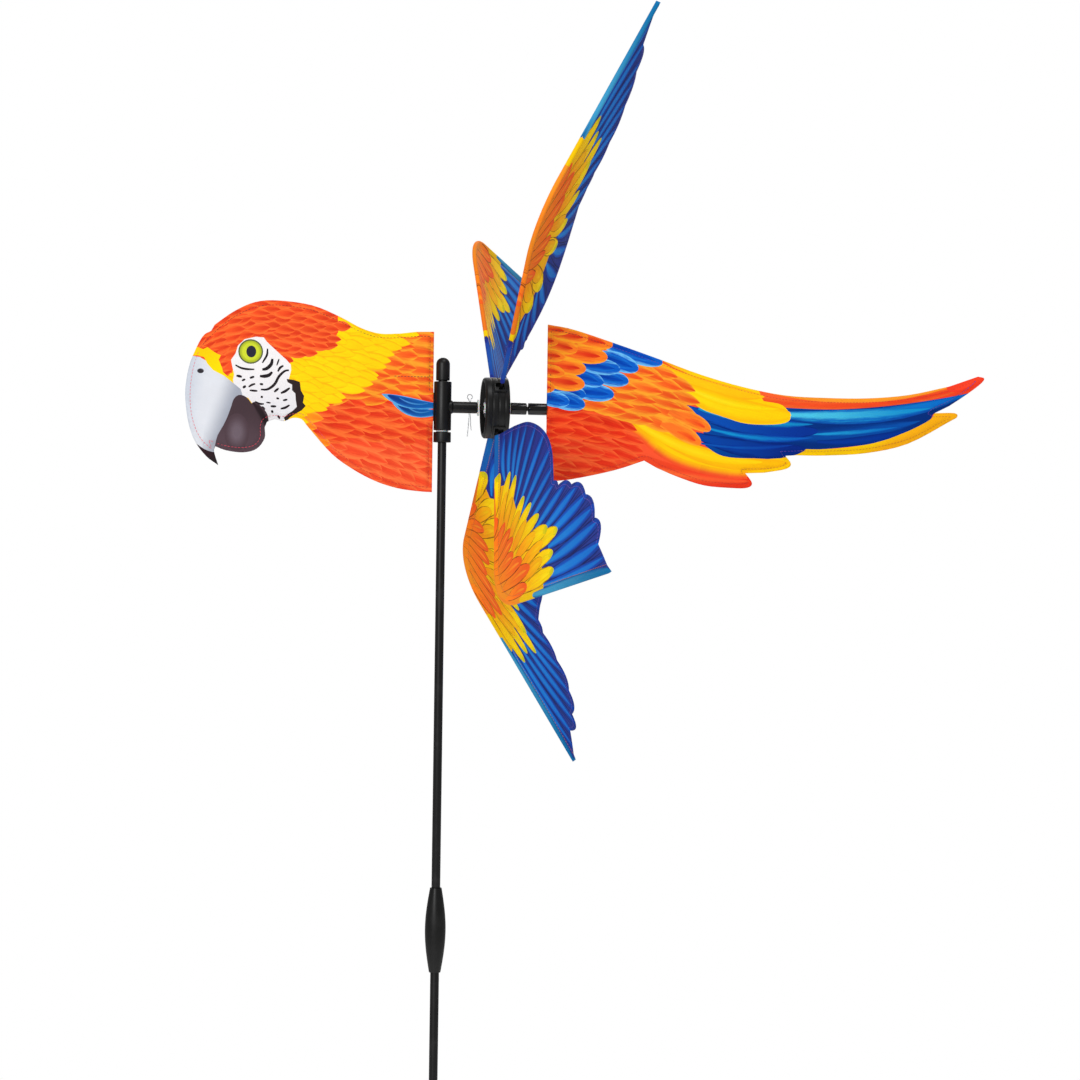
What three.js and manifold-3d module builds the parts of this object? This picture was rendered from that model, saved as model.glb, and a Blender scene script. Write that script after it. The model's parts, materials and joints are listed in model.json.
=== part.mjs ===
// A garden wind spinner in the shape of a macaw. The printed bird stands on a two-piece
// pole and swivels round it to face the wind, while a rotor of four printed wings spins
// on the axle that joins the bird's head to its tail.
//
// Millimetres. +Z runs up the pole and -X points along the beak. The origin is the centre
// of the pole's lower end. The bird is symmetric about the plane y = 0.

import * as THREE from 'three';
import { mergeVertices } from 'three/addons/utils/BufferGeometryUtils.js';
import Module from 'manifold-3d';

const wasm = await Module();
wasm.setup();

// ---- Driving dimensions -------------------------------------------------------------

const CLEARANCE = 0.3;          // between neighbouring pieces
const ROUND_SEGMENTS = 24;
const DRUM_SEGMENTS = 32;
const HOLE_SEGMENTS = 12;

const AXLE_HEIGHT = 1000;
const POLE_RADIUS = 4;
const JOIN_HEIGHT = 522;        // where the two pole pieces meet
const CONNECTOR_LENGTH = 77;
const CONNECTOR_RADIUS = 9.5;
const CONNECTOR_END_RADIUS = 5.3;

const TEE_RADIUS = 8;
const TEE_BOTTOM = -21.3;       // heights below are measured from the axle
const TEE_TOP = 23.1;
const BRANCH_RADIUS = 5.3;
const BRANCH_END_X = 31.7;
const TONGUE_LENGTH = 40;
const TONGUE_HEIGHT = 26;
const COLLAR_HEIGHT = 9.3;
const COLLAR_TOP = -23;
const SWIVEL_WASHER_RADIUS = 5.6;
const CAP_RADIUS = 6.3;
const CAP_BOTTOM = 24.2;
const CAP_TOP = 45.2;

const AXLE_RADIUS = 2;
const AXLE_START_X = 9.5;
const AXLE_END_X = 300;
const COTTER_X = 25;
const COTTER_WIRE_RADIUS = 0.35;
const COTTER_HOLE_RADIUS = 1.15;

const HUB_X = 50;               // where the wing rods meet
const HUB_FRONT = 13;
const HUB_BACK = 9;
const HUB_RADIUS = 28;
const HUB_RIM = 3.5;            // thickness of the drum's rim
const BOSS_RADIUS = 9;
const BUSHING_RADIUS = 5;
const SLEEVE_RADIUS = 5.5;
const WASHER_RADIUS = 7.4;

const BOARD_THICKNESS = 4;
const BOARD_INSET = 6.5;        // from the cloth's straight edges
const CLOTH_THICKNESS = 0.6;
const HEAD_EDGE_X = -8.7;       // back edge of the head, beside the tee
const TAIL_EDGE_X = 96.2;       // front edge of the tail, behind the rotor
const POCKET_HALF_HEIGHT = 2.4; // slot in the tail board that holds the axle

const FIRST_WING_ANGLE = 50.7;  // degrees from straight up, towards -Y
const WING_PITCH = 60.7;        // degrees from the axle to the wing's chord
const WING_ROD_RADIUS = 1.5;
const WING_SLEEVE_RADIUS = 2.4;
const WING_ROOT = 34;           // distance from the axle to the cloth's root
const WING_WRIST = 232;         // where the rod's two straight stretches would cross
const WING_TIP = [335, 200];
const WRIST_RADIUS = 70;
const WING_THICKNESS = 1;

// How far each springy rod leans from square (sweep) and turns in its socket (twist), degrees.
const WINGS = [
  { sweep: 2.4, twist: -1.6 },
  { sweep: -3.9, twist: 9.8 },
  { sweep: -3.4, twist: -8.3 },
  { sweep: -2.6, twist: 1.4 },
];

// ---- Materials ----------------------------------------------------------------------

function paint(color, roughness, metalness = 0) {
  return new THREE.MeshStandardMaterial({ color, roughness, metalness });
}

const blackPlastic = paint(0x1c1c1d, 0.5);
const blackRod = paint(0x242324, 0.4);
const glossSleeve = paint(0x121212, 0.2);
const steel = paint(0xb9bbbd, 0.3, 1);
const clearPlastic = paint(0xe8e8e6, 0.3);
const foamBoard = paint(0xf0eeea, 0.8);
const scarletCloth = paint(0xe8501e, 0.7);
const wingCloth = paint(0x1c50c8, 0.7);
const wingSleeveCloth = paint(0xe07a28, 0.7);

// ---- Solids -------------------------------------------------------------------------

const radians = THREE.MathUtils.degToRad;

/** A solid of revolution round +Z from [radius, height] pairs. */
function lathe(profile, segments = ROUND_SEGMENTS) {
  const points = profile.map(([radius, height]) => new THREE.Vector2(radius, height));
  return new THREE.LatheGeometry(points, segments).rotateX(Math.PI / 2);
}

/** A round sleeve along +Z. */
function ring(inner, outer, bottom, top) {
  return lathe([[inner, bottom], [outer, bottom], [outer, top], [inner, top], [inner, bottom]]);
}

/** A round bar along +Z. */
function bar(radius, bottom, top) {
  return lathe([[0, bottom], [radius, bottom], [radius, top], [0, top]]);
}

/** A bar along +Z that is cut out of another piece to leave a small hole. */
function drill(radius, bottom, top) {
  return lathe([[0, bottom], [radius, bottom], [radius, top], [0, top]], HOLE_SEGMENTS);
}

function alongX(geometry) {
  return geometry.rotateY(Math.PI / 2);
}

function block(x, y, z) {
  return new THREE.BoxGeometry(x[1] - x[0], y[1] - y[0], z[1] - z[0])
    .translate((x[0] + x[1]) / 2, (y[0] + y[1]) / 2, (z[0] + z[1]) / 2);
}

function toManifold(geometry) {
  const bare = geometry.clone();
  bare.deleteAttribute('normal');
  bare.deleteAttribute('uv');
  const merged = mergeVertices(bare, 1e-4);
  return new wasm.Manifold(new wasm.Mesh({
    numProp: 3,
    vertProperties: new Float32Array(merged.attributes.position.array),
    triVerts: new Uint32Array(merged.index.array),
  }));
}

function toGeometry(manifold) {
  const mesh = manifold.getMesh();
  const geometry = new THREE.BufferGeometry();
  geometry.setAttribute('position', new THREE.BufferAttribute(mesh.vertProperties, 3));
  geometry.setIndex(new THREE.BufferAttribute(mesh.triVerts, 1));
  geometry.computeVertexNormals();
  return geometry;
}

/** Joins the first list of geometries and cuts the second list out of them. */
function carve(joined, removed) {
  let body = toManifold(joined[0]);
  for (const piece of joined.slice(1)) {
    body = body.add(toManifold(piece));
  }
  for (const piece of removed) {
    body = body.subtract(toManifold(piece));
  }
  return toGeometry(body);
}

/** A tube or rod of the given section, swept along a curve. */
function sweep(curve, steps, radius, innerRadius = 0, sides = 8) {
  const polygon = (size) => Array.from({ length: sides }, (_, i) => new THREE.Vector2(
    size * Math.cos((2 * Math.PI * i) / sides),
    size * Math.sin((2 * Math.PI * i) / sides),
  ));
  const section = new THREE.Shape(polygon(radius));
  if (innerRadius > 0) {
    section.holes.push(new THREE.Path(polygon(innerRadius)));
  }
  return new THREE.ExtrudeGeometry(section, { steps, extrudePath: curve });
}

/** A flat sheet cut to an outline in the X-Z plane, between two depths in Y. */
function sheetXZ(shape, nearY, farY) {
  const depth = farY - nearY;
  return new THREE.ExtrudeGeometry(shape, { depth, bevelEnabled: false, curveSegments: 3 })
    .rotateX(Math.PI / 2)
    .translate(0, farY, 0);
}

const vectors = (pairs) => pairs.map(([x, y]) => new THREE.Vector2(x, y));

// ---- Scene graph --------------------------------------------------------------------

const spinner = new THREE.Group();
const bird = new THREE.Group();
bird.position.z = AXLE_HEIGHT;
const rotor = new THREE.Group();
rotor.position.x = HUB_X;
bird.add(rotor);
spinner.add(bird);

function place(group, name, geometry, material) {
  const mesh = new THREE.Mesh(geometry, material);
  mesh.name = name;
  group.add(mesh);
}

// ---- Pole ---------------------------------------------------------------------------

function connectorProfile() {
  const bore = POLE_RADIUS + CLEARANCE;
  const half = CONNECTOR_LENGTH / 2;
  const swell = [-1, -0.7, -0.35, 0, 0.35, 0.7, 1].map((along) => [
    CONNECTOR_END_RADIUS + (CONNECTOR_RADIUS - CONNECTOR_END_RADIUS) * Math.cos((along * Math.PI) / 2),
    along * half,
  ]);
  return [[bore, -half], ...swell, [bore, half], [bore, -half]];
}

function capProfile() {
  const bore = POLE_RADIUS + CLEARANCE;
  const inside = CAP_TOP - 4;
  const shoulder = CAP_TOP - CAP_RADIUS;
  const dome = [0, 18, 36, 54, 72, 90].map((degrees) => [
    CAP_RADIUS * Math.cos(radians(degrees)),
    shoulder + CAP_RADIUS * Math.sin(radians(degrees)),
  ]);
  dome[dome.length - 1][0] = 0;
  return [[0, inside], [bore, inside], [bore, CAP_BOTTOM], [CAP_RADIUS, CAP_BOTTOM], ...dome];
}

function buildPole() {
  const bore = POLE_RADIUS + CLEARANCE;
  const poleTop = AXLE_HEIGHT + CAP_TOP - 4 - CLEARANCE;
  place(spinner, 'lower_pole', bar(POLE_RADIUS, 0, JOIN_HEIGHT - CLEARANCE / 2), blackRod);
  place(spinner, 'upper_pole', bar(POLE_RADIUS, JOIN_HEIGHT + CLEARANCE / 2, poleTop), blackRod);
  place(spinner, 'pole_connector', lathe(connectorProfile()).translate(0, 0, JOIN_HEIGHT), blackPlastic);
  place(bird, 'swivel_collar', ring(bore, TEE_RADIUS, COLLAR_TOP - COLLAR_HEIGHT, COLLAR_TOP), blackPlastic);
  place(bird, 'swivel_washer',
    ring(bore, SWIVEL_WASHER_RADIUS, COLLAR_TOP + CLEARANCE, TEE_BOTTOM - CLEARANCE), clearPlastic);
  place(bird, 'pole_cap', lathe(capProfile()), blackPlastic);
}

// ---- Tee, axle and what sits on it --------------------------------------------------

function buildTee() {
  const swivelBore = POLE_RADIUS + CLEARANCE;
  const tongue = block([-TONGUE_LENGTH - 6, -6], [-BOARD_THICKNESS / 2, BOARD_THICKNESS / 2],
    [-TONGUE_HEIGHT / 2, TONGUE_HEIGHT / 2]);
  const fitting = carve(
    [bar(TEE_RADIUS, TEE_BOTTOM, TEE_TOP), alongX(bar(BRANCH_RADIUS, 0, BRANCH_END_X)), tongue],
    [
      bar(swivelBore, TEE_BOTTOM - 1, TEE_TOP + 1),
      alongX(bar(AXLE_RADIUS + CLEARANCE, AXLE_START_X - CLEARANCE, BRANCH_END_X + 1)),
      drill(COTTER_HOLE_RADIUS, -TEE_RADIUS, TEE_RADIUS).translate(COTTER_X, 0, 0),
    ],
  );
  place(bird, 'tee_fitting', fitting, blackPlastic);
}

function buildAxle() {
  const bore = AXLE_RADIUS + CLEARANCE;
  const axle = carve(
    [alongX(bar(AXLE_RADIUS, AXLE_START_X, AXLE_END_X))],
    [drill(COTTER_HOLE_RADIUS, -TEE_RADIUS, TEE_RADIUS).translate(COTTER_X, 0, 0)],
  );
  const hubEnd = HUB_X + HUB_BACK;
  place(bird, 'axle_rod', axle, blackRod);
  place(bird, 'front_washer',
    alongX(ring(bore, WASHER_RADIUS, BRANCH_END_X + 0.4, BRANCH_END_X + 1.6)), clearPlastic);
  place(bird, 'rear_washer', alongX(ring(bore, WASHER_RADIUS, hubEnd + 1.6, hubEnd + 2.8)), clearPlastic);
  place(bird, 'stop_sleeve', alongX(ring(bore, SLEEVE_RADIUS, hubEnd + 3.4, hubEnd + 18.3)), glossSleeve);
  place(bird, 'tail_sleeve',
    alongX(ring(bore, SLEEVE_RADIUS, hubEnd + 20, TAIL_EDGE_X - CLEARANCE)), glossSleeve);
}

/** A split pin: an eye above the branch, and two legs of unequal length through its hole. */
function buildCotter() {
  const leg = COTTER_WIRE_RADIUS + 0.15;
  const points = [
    [-3.6 * leg, -26.5], [-leg, -8], [-leg, 5.6], [-2.3, 9.7], [0, 12],
    [2.3, 9.7], [leg, 5.6], [leg, -8], [3 * leg, -21],
  ].map(([x, z]) => new THREE.Vector3(COTTER_X + x, 0, z));
  const wire = new THREE.CatmullRomCurve3(points, false, 'centripetal');
  place(bird, 'cotter_pin', sweep(wire, 40, COTTER_WIRE_RADIUS, 0, 6), steel);
}

// ---- Head and tail: a stiff board between two printed cloths ------------------------

/** The head in profile: nape, crown, beak with its hooked tip, jaw, throat and breast. */
function headOutline() {
  const shape = new THREE.Shape();
  shape.moveTo(HEAD_EDGE_X, 68.5);
  shape.lineTo(-40, 66);
  shape.splineThru(vectors([
    [-58, 65.5], [-75, 70], [-95, 80], [-120, 89.5],
    [-150, 93], [-171, 91], [-190, 82], [-206, 70],
  ]));
  shape.lineTo(-210, 64);
  shape.splineThru(vectors([
    [-218, 58], [-228, 36], [-232, 15], [-232, 0],
    [-229, -20], [-223, -36], [-213, -49], [-202, -57],
  ]));
  shape.quadraticCurveTo(-206, -49, -205, -40);
  shape.splineThru(vectors([
    [-195, -43.5], [-180, -45], [-168, -41.5],
    [-161, -32], [-161, -22], [-159, -17],
  ]));
  shape.splineThru(vectors([
    [-152, -14.5], [-144, -16], [-136, -13],
    [-128, -14], [-121, -22], [-100, -45],
  ]));
  shape.splineThru(vectors([[-80, -59], [-60, -69], [-40, -75], [HEAD_EDGE_X, -78]]));
  return shape;
}

/** The tail in profile: rump, long upper feathers, and the lobes of the lower feathers. */
function tailOutline() {
  const shape = new THREE.Shape();
  shape.moveTo(TAIL_EDGE_X, -66.5);
  shape.splineThru(vectors([[120, -64], [160, -55], [188, -45.5]]));
  shape.splineThru(vectors([
    [220, -60], [245, -67.5], [272, -69.5],
    [288, -68], [290, -62], [284, -55.5],
  ]));
  shape.splineThru(vectors([[304, -54.5], [322, -51], [327, -46], [322, -38.5]]));
  shape.splineThru(vectors([[360, -37.5], [400, -34.5], [440, -25], [480, -3.5], [488, 3]]));
  shape.lineTo(466, 4.5);
  shape.splineThru(vectors([[480, 11.5], [498, 23.5], [514, 39]]));
  shape.lineTo(508, 40);
  shape.splineThru(vectors([[480, 30], [440, 21], [400, 17], [360, 16.5], [320, 18], [280, 25]]));
  shape.splineThru(vectors([[240, 35.5], [200, 49], [160, 62], [120, 74], [TAIL_EDGE_X, 78]]));
  return shape;
}

/** The head board stops short of the cloth's edge, and is slotted for the tee's tongue. */
function headBoard() {
  const shape = new THREE.Shape();
  shape.moveTo(HEAD_EDGE_X - BOARD_INSET, 61);
  shape.splineThru(vectors([
    [-40, 58.5], [-58, 58], [-78, 63.5], [-97, 72.5], [-122, 82], [-150, 85.5], [-169, 83.5],
    [-186, 75.5], [-200, 64], [-210, 52], [-220.5, 34], [-224.8, 14], [-224.8, 0], [-222, -18], [-216, -32],
  ]));
  shape.lineTo(-202, -31);
  shape.splineThru(vectors([[-193, -36], [-180, -37.5], [-171, -33], [-168.5, -22], [-166, -12]]));
  shape.splineThru(vectors([
    [-152, -7], [-143, -8.5], [-133, -5.5], [-124, -7.5], [-116, -16.5], [-95.5, -38],
  ]));
  shape.splineThru(vectors([[-77, -52], [-57.5, -61.5], [-38.5, -67.5], [HEAD_EDGE_X - BOARD_INSET, -70.5]]));
  const slotEnd = -TONGUE_LENGTH - 6 - CLEARANCE;
  const slotHalf = TONGUE_HEIGHT / 2 + CLEARANCE;
  shape.lineTo(HEAD_EDGE_X - BOARD_INSET, -slotHalf);
  shape.lineTo(slotEnd, -slotHalf);
  shape.lineTo(slotEnd, slotHalf);
  shape.lineTo(HEAD_EDGE_X - BOARD_INSET, slotHalf);
  return shape;
}

/** The tail board is slotted along the axle. */
function tailBoard() {
  const shape = new THREE.Shape();
  shape.moveTo(TAIL_EDGE_X + BOARD_INSET, POCKET_HALF_HEIGHT);
  shape.lineTo(AXLE_END_X + CLEARANCE, POCKET_HALF_HEIGHT);
  shape.lineTo(AXLE_END_X + CLEARANCE, -POCKET_HALF_HEIGHT);
  shape.lineTo(TAIL_EDGE_X + BOARD_INSET, -POCKET_HALF_HEIGHT);
  shape.lineTo(TAIL_EDGE_X + BOARD_INSET, -58);
  shape.splineThru(vectors([
    [122, -56.5], [158, -47.5], [188, -37.5], [222, -52.5], [250, -60], [272, -61.5],
  ]));
  shape.splineThru(vectors([[283, -48], [305, -47]]));
  shape.lineTo(313, -36);
  shape.lineTo(322, -31);
  shape.splineThru(vectors([[340, -30], [360, -30], [400, -27], [436, -17.5], [456, -6]]));
  shape.lineTo(452, 14);
  shape.splineThru(vectors([[438, 13], [400, 9.5], [360, 9], [320, 10.5], [278, 17.5]]));
  shape.splineThru(vectors([[238, 28], [198, 41], [158, 54], [118, 66.5], [TAIL_EDGE_X + BOARD_INSET, 70]]));
  return shape;
}

function buildPanels() {
  const boardHalf = BOARD_THICKNESS / 2;
  const inner = boardHalf + CLEARANCE;
  const outer = inner + CLOTH_THICKNESS;
  place(bird, 'head_board', sheetXZ(headBoard(), -boardHalf, boardHalf), foamBoard);
  place(bird, 'tail_board', sheetXZ(tailBoard(), -boardHalf, boardHalf), foamBoard);
  place(bird, 'head_cloth_left', sheetXZ(headOutline(), -outer, -inner), scarletCloth);
  place(bird, 'head_cloth_right', sheetXZ(headOutline(), inner, outer), scarletCloth);
  place(bird, 'tail_cloth_left', sheetXZ(tailOutline(), -outer, -inner), scarletCloth);
  place(bird, 'tail_cloth_right', sheetXZ(tailOutline(), inner, outer), scarletCloth);
}

// ---- Rotor --------------------------------------------------------------------------
// A wing is laid out flat in its own frame: X runs out along the arm from the axle, Y runs
// back along the chord, and Z is square to the cloth.

/** Turns a wing's own frame to its place on the rotor, whose axle is X. */
function wingMatrix(index) {
  const { sweep: lean, twist } = WINGS[index];
  const chord = radians(WING_PITCH + twist);
  const flat = new THREE.Matrix4().makeBasis(
    new THREE.Vector3(0, 0, 1),
    new THREE.Vector3(Math.cos(chord), Math.sin(chord), 0),
    new THREE.Vector3(-Math.sin(chord), Math.cos(chord), 0),
  );
  const turn = new THREE.Matrix4().makeRotationX(radians(FIRST_WING_ANGLE + 90 * index));
  const tilt = new THREE.Matrix4().makeRotationY(radians(lean));
  return turn.multiply(tilt).multiply(flat);
}

/** Turns a socket from pointing along X, square to the hub, to its place on the hub. */
function socketMatrix(index) {
  const upright = new THREE.Matrix4().makeBasis(
    new THREE.Vector3(0, 0, 1), new THREE.Vector3(1, 0, 0), new THREE.Vector3(0, 1, 0));
  return new THREE.Matrix4().makeRotationX(radians(FIRST_WING_ANGLE + 90 * index)).multiply(upright);
}

/** The hub: a rim and a web round a boss, with four boxed sockets moulded across them. */
function buildHub() {
  const inside = HUB_RADIUS - HUB_RIM;
  const bore = BUSHING_RADIUS + CLEARANCE;
  const drum = alongX(lathe([
    [bore, -HUB_FRONT + 2], [BOSS_RADIUS, -HUB_FRONT + 2], [BOSS_RADIUS, -5.5], [inside, -5.5],
    [inside, -HUB_FRONT], [HUB_RADIUS - 0.8, -HUB_FRONT], [HUB_RADIUS, -HUB_FRONT + 0.8],
    [HUB_RADIUS, HUB_BACK - 0.8], [HUB_RADIUS - 0.8, HUB_BACK], [inside, HUB_BACK], [inside, 0.5],
    [BOSS_RADIUS, 0.5], [BOSS_RADIUS, HUB_BACK], [bore, HUB_BACK], [bore, -HUB_FRONT + 2],
  ], DRUM_SEGMENTS));
  const joined = [drum];
  const removed = [];
  WINGS.forEach((_, index) => {
    const matrix = wingMatrix(index);
    const upright = socketMatrix(index);
    joined.push(block([BOSS_RADIUS, HUB_RADIUS + 1.6], [-5.6, 5.6], [-5.6, 5.6]).applyMatrix4(upright));
    removed.push(block([HUB_RADIUS - 2, HUB_RADIUS + 4], [-4, 4], [-4, 4]).applyMatrix4(upright));
    removed.push(alongX(drill(WING_ROD_RADIUS + 2 * CLEARANCE, 13, HUB_RADIUS + 4)).applyMatrix4(matrix));
    for (const offset of [30, 60]) {
      const angle = radians(FIRST_WING_ANGLE + 90 * index + offset);
      const pitch = (BOSS_RADIUS + inside) / 2;
      removed.push(alongX(drill(3, -8, 3)).translate(0, -pitch * Math.sin(angle), pitch * Math.cos(angle)));
    }
  });
  place(rotor, 'hub_drum', carve(joined, removed), blackPlastic);
  place(rotor, 'hub_bushing',
    alongX(ring(AXLE_RADIUS + CLEARANCE, BUSHING_RADIUS, -HUB_FRONT + 1, HUB_BACK + 0.6)), clearPlastic);
}

/** The line of the bent wing rod: a straight arm, a round wrist and a straight hand. */
class RodLine extends THREE.Curve {
  constructor(startX, endGap) {
    super();
    const corner = new THREE.Vector2(WING_WRIST, 0);
    const hand = new THREE.Vector2(...WING_TIP).sub(corner);
    this.bend = hand.angle();
    this.cut = WRIST_RADIUS * Math.tan(this.bend / 2);
    this.start = new THREE.Vector2(startX, 0);
    this.handStart = corner.clone().addScaledVector(hand.clone().normalize(), this.cut);
    this.end = corner.clone().addScaledVector(hand.clone().normalize(), hand.length() - endGap);
  }

  // Most of the steps fall in the bend, where they are needed.
  getUtoTmapping(u) {
    return u;
  }

  getPoint(t) {
    const bendShare = (t - 1 / RodLine.STEPS) / (1 - 2 / RodLine.STEPS);
    if (bendShare < 0) {
      const armEnd = new THREE.Vector2(WING_WRIST - this.cut, 0);
      const point = this.start.clone().lerp(armEnd, t * RodLine.STEPS);
      return new THREE.Vector3(point.x, point.y, 0);
    }
    if (bendShare > 1) {
      const point = this.end.clone().lerp(this.handStart, (1 - t) * RodLine.STEPS);
      return new THREE.Vector3(point.x, point.y, 0);
    }
    const angle = bendShare * this.bend;
    return new THREE.Vector3(
      WING_WRIST - this.cut + WRIST_RADIUS * Math.sin(angle),
      WRIST_RADIUS * (1 - Math.cos(angle)),
      0,
    );
  }
}
RodLine.STEPS = 10;

/** Scalloped edge: round feather tips, each ending at [x, y] and standing out by its bulge. */
function scallops(shape, lobes) {
  for (const [x, y, bulge] of lobes) {
    const from = shape.currentPoint.clone();
    const out = new THREE.Vector2(y - from.y, from.x - x).normalize().multiplyScalar(2 * bulge);
    shape.quadraticCurveTo((from.x + x) / 2 + out.x, (from.y + y) / 2 + out.y, x, y);
  }
}

/** One wing's cloth: it starts beside the sleeve and ends in the feathers' round tips. */
function wingOutline() {
  const edge = WING_SLEEVE_RADIUS + 2 * CLEARANCE;
  const line = new RodLine(WING_ROOT, 6);
  const shape = new THREE.Shape();
  const inward = (t) => {
    const tangent = line.getTangent(t);
    const point = line.getPoint(t);
    return [point.x - tangent.y * edge, point.y + tangent.x * edge];
  };
  shape.moveTo(WING_ROOT + 1, edge);
  for (let step = 1; step < RodLine.STEPS; step += 1) {
    shape.lineTo(...inward(step / RodLine.STEPS));
  }
  shape.lineTo(...inward(1));
  shape.lineTo(299, 186);
  scallops(shape, [[271, 184, 7], [240, 174, 3.5], [212, 152, 5], [195, 128, 2], [184, 119, 1]]);
  shape.splineThru(vectors([
    [167, 117], [147, 116], [124, 108], [101, 94],
    [77, 72], [55, 43], [46, 20],
  ]));
  return shape;
}

function buildWings() {
  const halfCloth = WING_THICKNESS / 2;
  WINGS.forEach((_, index) => {
    const wing = new THREE.Group();
    wing.applyMatrix4(wingMatrix(index));
    rotor.add(wing);
    const number = index + 1;
    const cloth = new THREE.ExtrudeGeometry(wingOutline(),
      { depth: WING_THICKNESS, bevelEnabled: false, curveSegments: 4 }).translate(0, 0, -halfCloth);
    place(wing, `wing_rod_${number}`, sweep(new RodLine(14, 2), RodLine.STEPS, WING_ROD_RADIUS), blackRod);
    place(wing, `wing_sleeve_${number}`, sweep(new RodLine(WING_ROOT, 0), RodLine.STEPS,
      WING_SLEEVE_RADIUS, WING_ROD_RADIUS + CLEARANCE), wingSleeveCloth);
    place(wing, `wing_cloth_${number}`, cloth, wingCloth);
  });
}

buildPole();
buildTee();
buildAxle();
buildCotter();
buildPanels();
buildHub();
buildWings();

export default spinner;
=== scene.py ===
"""A macaw wind spinner: printed cloth panels and wings, moulded plastic and rods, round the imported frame.

Flat shapes are written in millimetres. A panel's points are (x, height above the axle); a wing's are
(distance out along its arm, distance back from its rod).
"""
import json
import math
import random

import bmesh
import bpy
import numpy as np
from mathutils import Matrix, Vector
from mathutils.geometry import delaunay_2d_cdt


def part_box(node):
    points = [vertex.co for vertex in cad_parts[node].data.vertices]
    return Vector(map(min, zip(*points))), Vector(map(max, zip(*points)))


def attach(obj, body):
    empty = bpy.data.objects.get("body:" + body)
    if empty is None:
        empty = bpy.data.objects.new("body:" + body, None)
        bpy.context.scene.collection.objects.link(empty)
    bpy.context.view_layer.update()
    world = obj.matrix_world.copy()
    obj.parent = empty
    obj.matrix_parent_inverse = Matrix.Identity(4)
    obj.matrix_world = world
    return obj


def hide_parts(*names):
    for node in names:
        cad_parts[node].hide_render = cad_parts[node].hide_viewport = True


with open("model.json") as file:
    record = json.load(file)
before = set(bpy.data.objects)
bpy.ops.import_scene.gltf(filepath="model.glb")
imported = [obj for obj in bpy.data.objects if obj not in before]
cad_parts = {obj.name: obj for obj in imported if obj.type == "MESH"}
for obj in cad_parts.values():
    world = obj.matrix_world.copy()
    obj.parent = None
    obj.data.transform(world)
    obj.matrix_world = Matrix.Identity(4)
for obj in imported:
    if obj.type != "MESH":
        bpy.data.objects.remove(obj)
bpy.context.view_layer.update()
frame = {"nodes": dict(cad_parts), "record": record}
MM = 0.001

# ---- Places that come from the frame ----

JOINTS = {joint["name"]: Vector(joint["pos_m"]) for joint in frame["record"]["behaviour"]["joints"]}
AXLE = JOINTS["vane_swivel"]    # where the axle's line meets the pole's
HUB = JOINTS["rotor_spin"]      # the middle of the hub


def span(node, axis):
    """A node's lowest and highest value along an axis, in millimetres from the axle's meeting point."""
    low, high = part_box(node)
    return (low[axis] - AXLE[axis]) / MM, (high[axis] - AXLE[axis]) / MM


# ---- Colours ----


def ink(code):
    """A linear colour from a six-digit colour code."""
    shares = [value / 255 for value in bytes.fromhex(code)]
    return tuple(s / 12.92 if s <= 0.04045 else ((s + 0.055) / 1.055) ** 2.4 for s in shares)


def inks(codes):
    """Several linear colours from their codes."""
    return tuple(ink(code) for code in codes.split())


SCARLET = ink("f85426")
ORANGE_HEART = ink("f35822")
RED_EDGE = ink("fb5530")
YELLOW_DEEP = ink("ffc808")
YELLOW_SHADE = ink("f0ac0a")
WHITE = ink("eeebec")
DARK_BEAK = ink("48383e")
BLACK = ink("262024")
TIP_BLACK = ink("342026")
IRIS = ink("ccd734")
IRIS_RIM = ink("565c3e")
IRIS_EDGE = ink("a8b42c")
NOSTRIL = ink("343036")
BLUE_DEEP = ink("00469c")
NAVY = ink("002e7c")
INDIGO = ink("283a8e")
INDIGO_DARK = ink("18205c")

# ---- Flat shapes ----

WIDEST = 0.55       # how far along a feather it is widest
ROOT_WIDTH = 0.35   # its width at the root, as a share of the widest
STROKE_END = 0.35   # a brush stroke's width at its very end, as a share of its middle's
STROKE_HALF = 0.62  # half a stroke's width in its middle, as a share of its stated width
STRAY = {"along": 0.32, "across": 0.24, "angle": 6, "bend": 1.2}    # how unevenly shingled feathers lie


def curve(points, steps=4):
    """A smooth line through the points."""
    known = np.array(points, float)
    known = np.concatenate(([2 * known[0] - known[1]], known, [2 * known[-1] - known[-2]]))
    line = []
    for a, b, c, d in zip(known, known[1:], known[2:], known[3:]):
        for t in np.arange(steps) / steps:
            line.append(b + 0.5 * t * (c - a + t * (2 * a - 5 * b + 4 * c - d + t * (3 * (b - c) + d - a))))
    return [tuple(p) for p in line] + [tuple(points[-1])]


def signed_area(outline):
    x, y = np.array(outline, float).T
    return np.sum(x * np.roll(y, -1) - np.roll(x, -1) * y) / 2


def counterclockwise(points):
    return np.array(points, float)[::1 if signed_area(points) > 0 else -1]


def inside(points, outline):
    """Which points lie within the outline."""
    x, y = np.array(points, float).T
    found = np.zeros(len(x), bool)
    outline = np.array(outline, float)
    for (ax, ay), (bx, by) in zip(outline, np.roll(outline, -1, 0)):
        if ay == by:
            continue
        crosses = (ay > y) != (by > y)
        found ^= crosses & (x < (bx - ax) * (y - ay) / (by - ay) + ax)
    return found


def edge_distance(points, outline):
    """How far each point is from the outline, and how far round the outline its nearest place is."""
    points = np.array(points, float)
    outline = np.array(outline, float)
    best = np.full(len(points), 1e9)
    place = np.zeros(len(points))
    travelled = 0.0
    for a, b in zip(outline, np.roll(outline, -1, 0)):
        side = b - a
        length = max(np.hypot(*side), 1e-9)
        along = np.clip((points - a) @ side / length, 0, length)
        gap = np.hypot(*(points - a - np.outer(along / length, side)).T)
        nearer = gap < best
        best[nearer] = gap[nearer]
        place[nearer] = travelled + along[nearer]
        travelled += length
    return best, place


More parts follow.
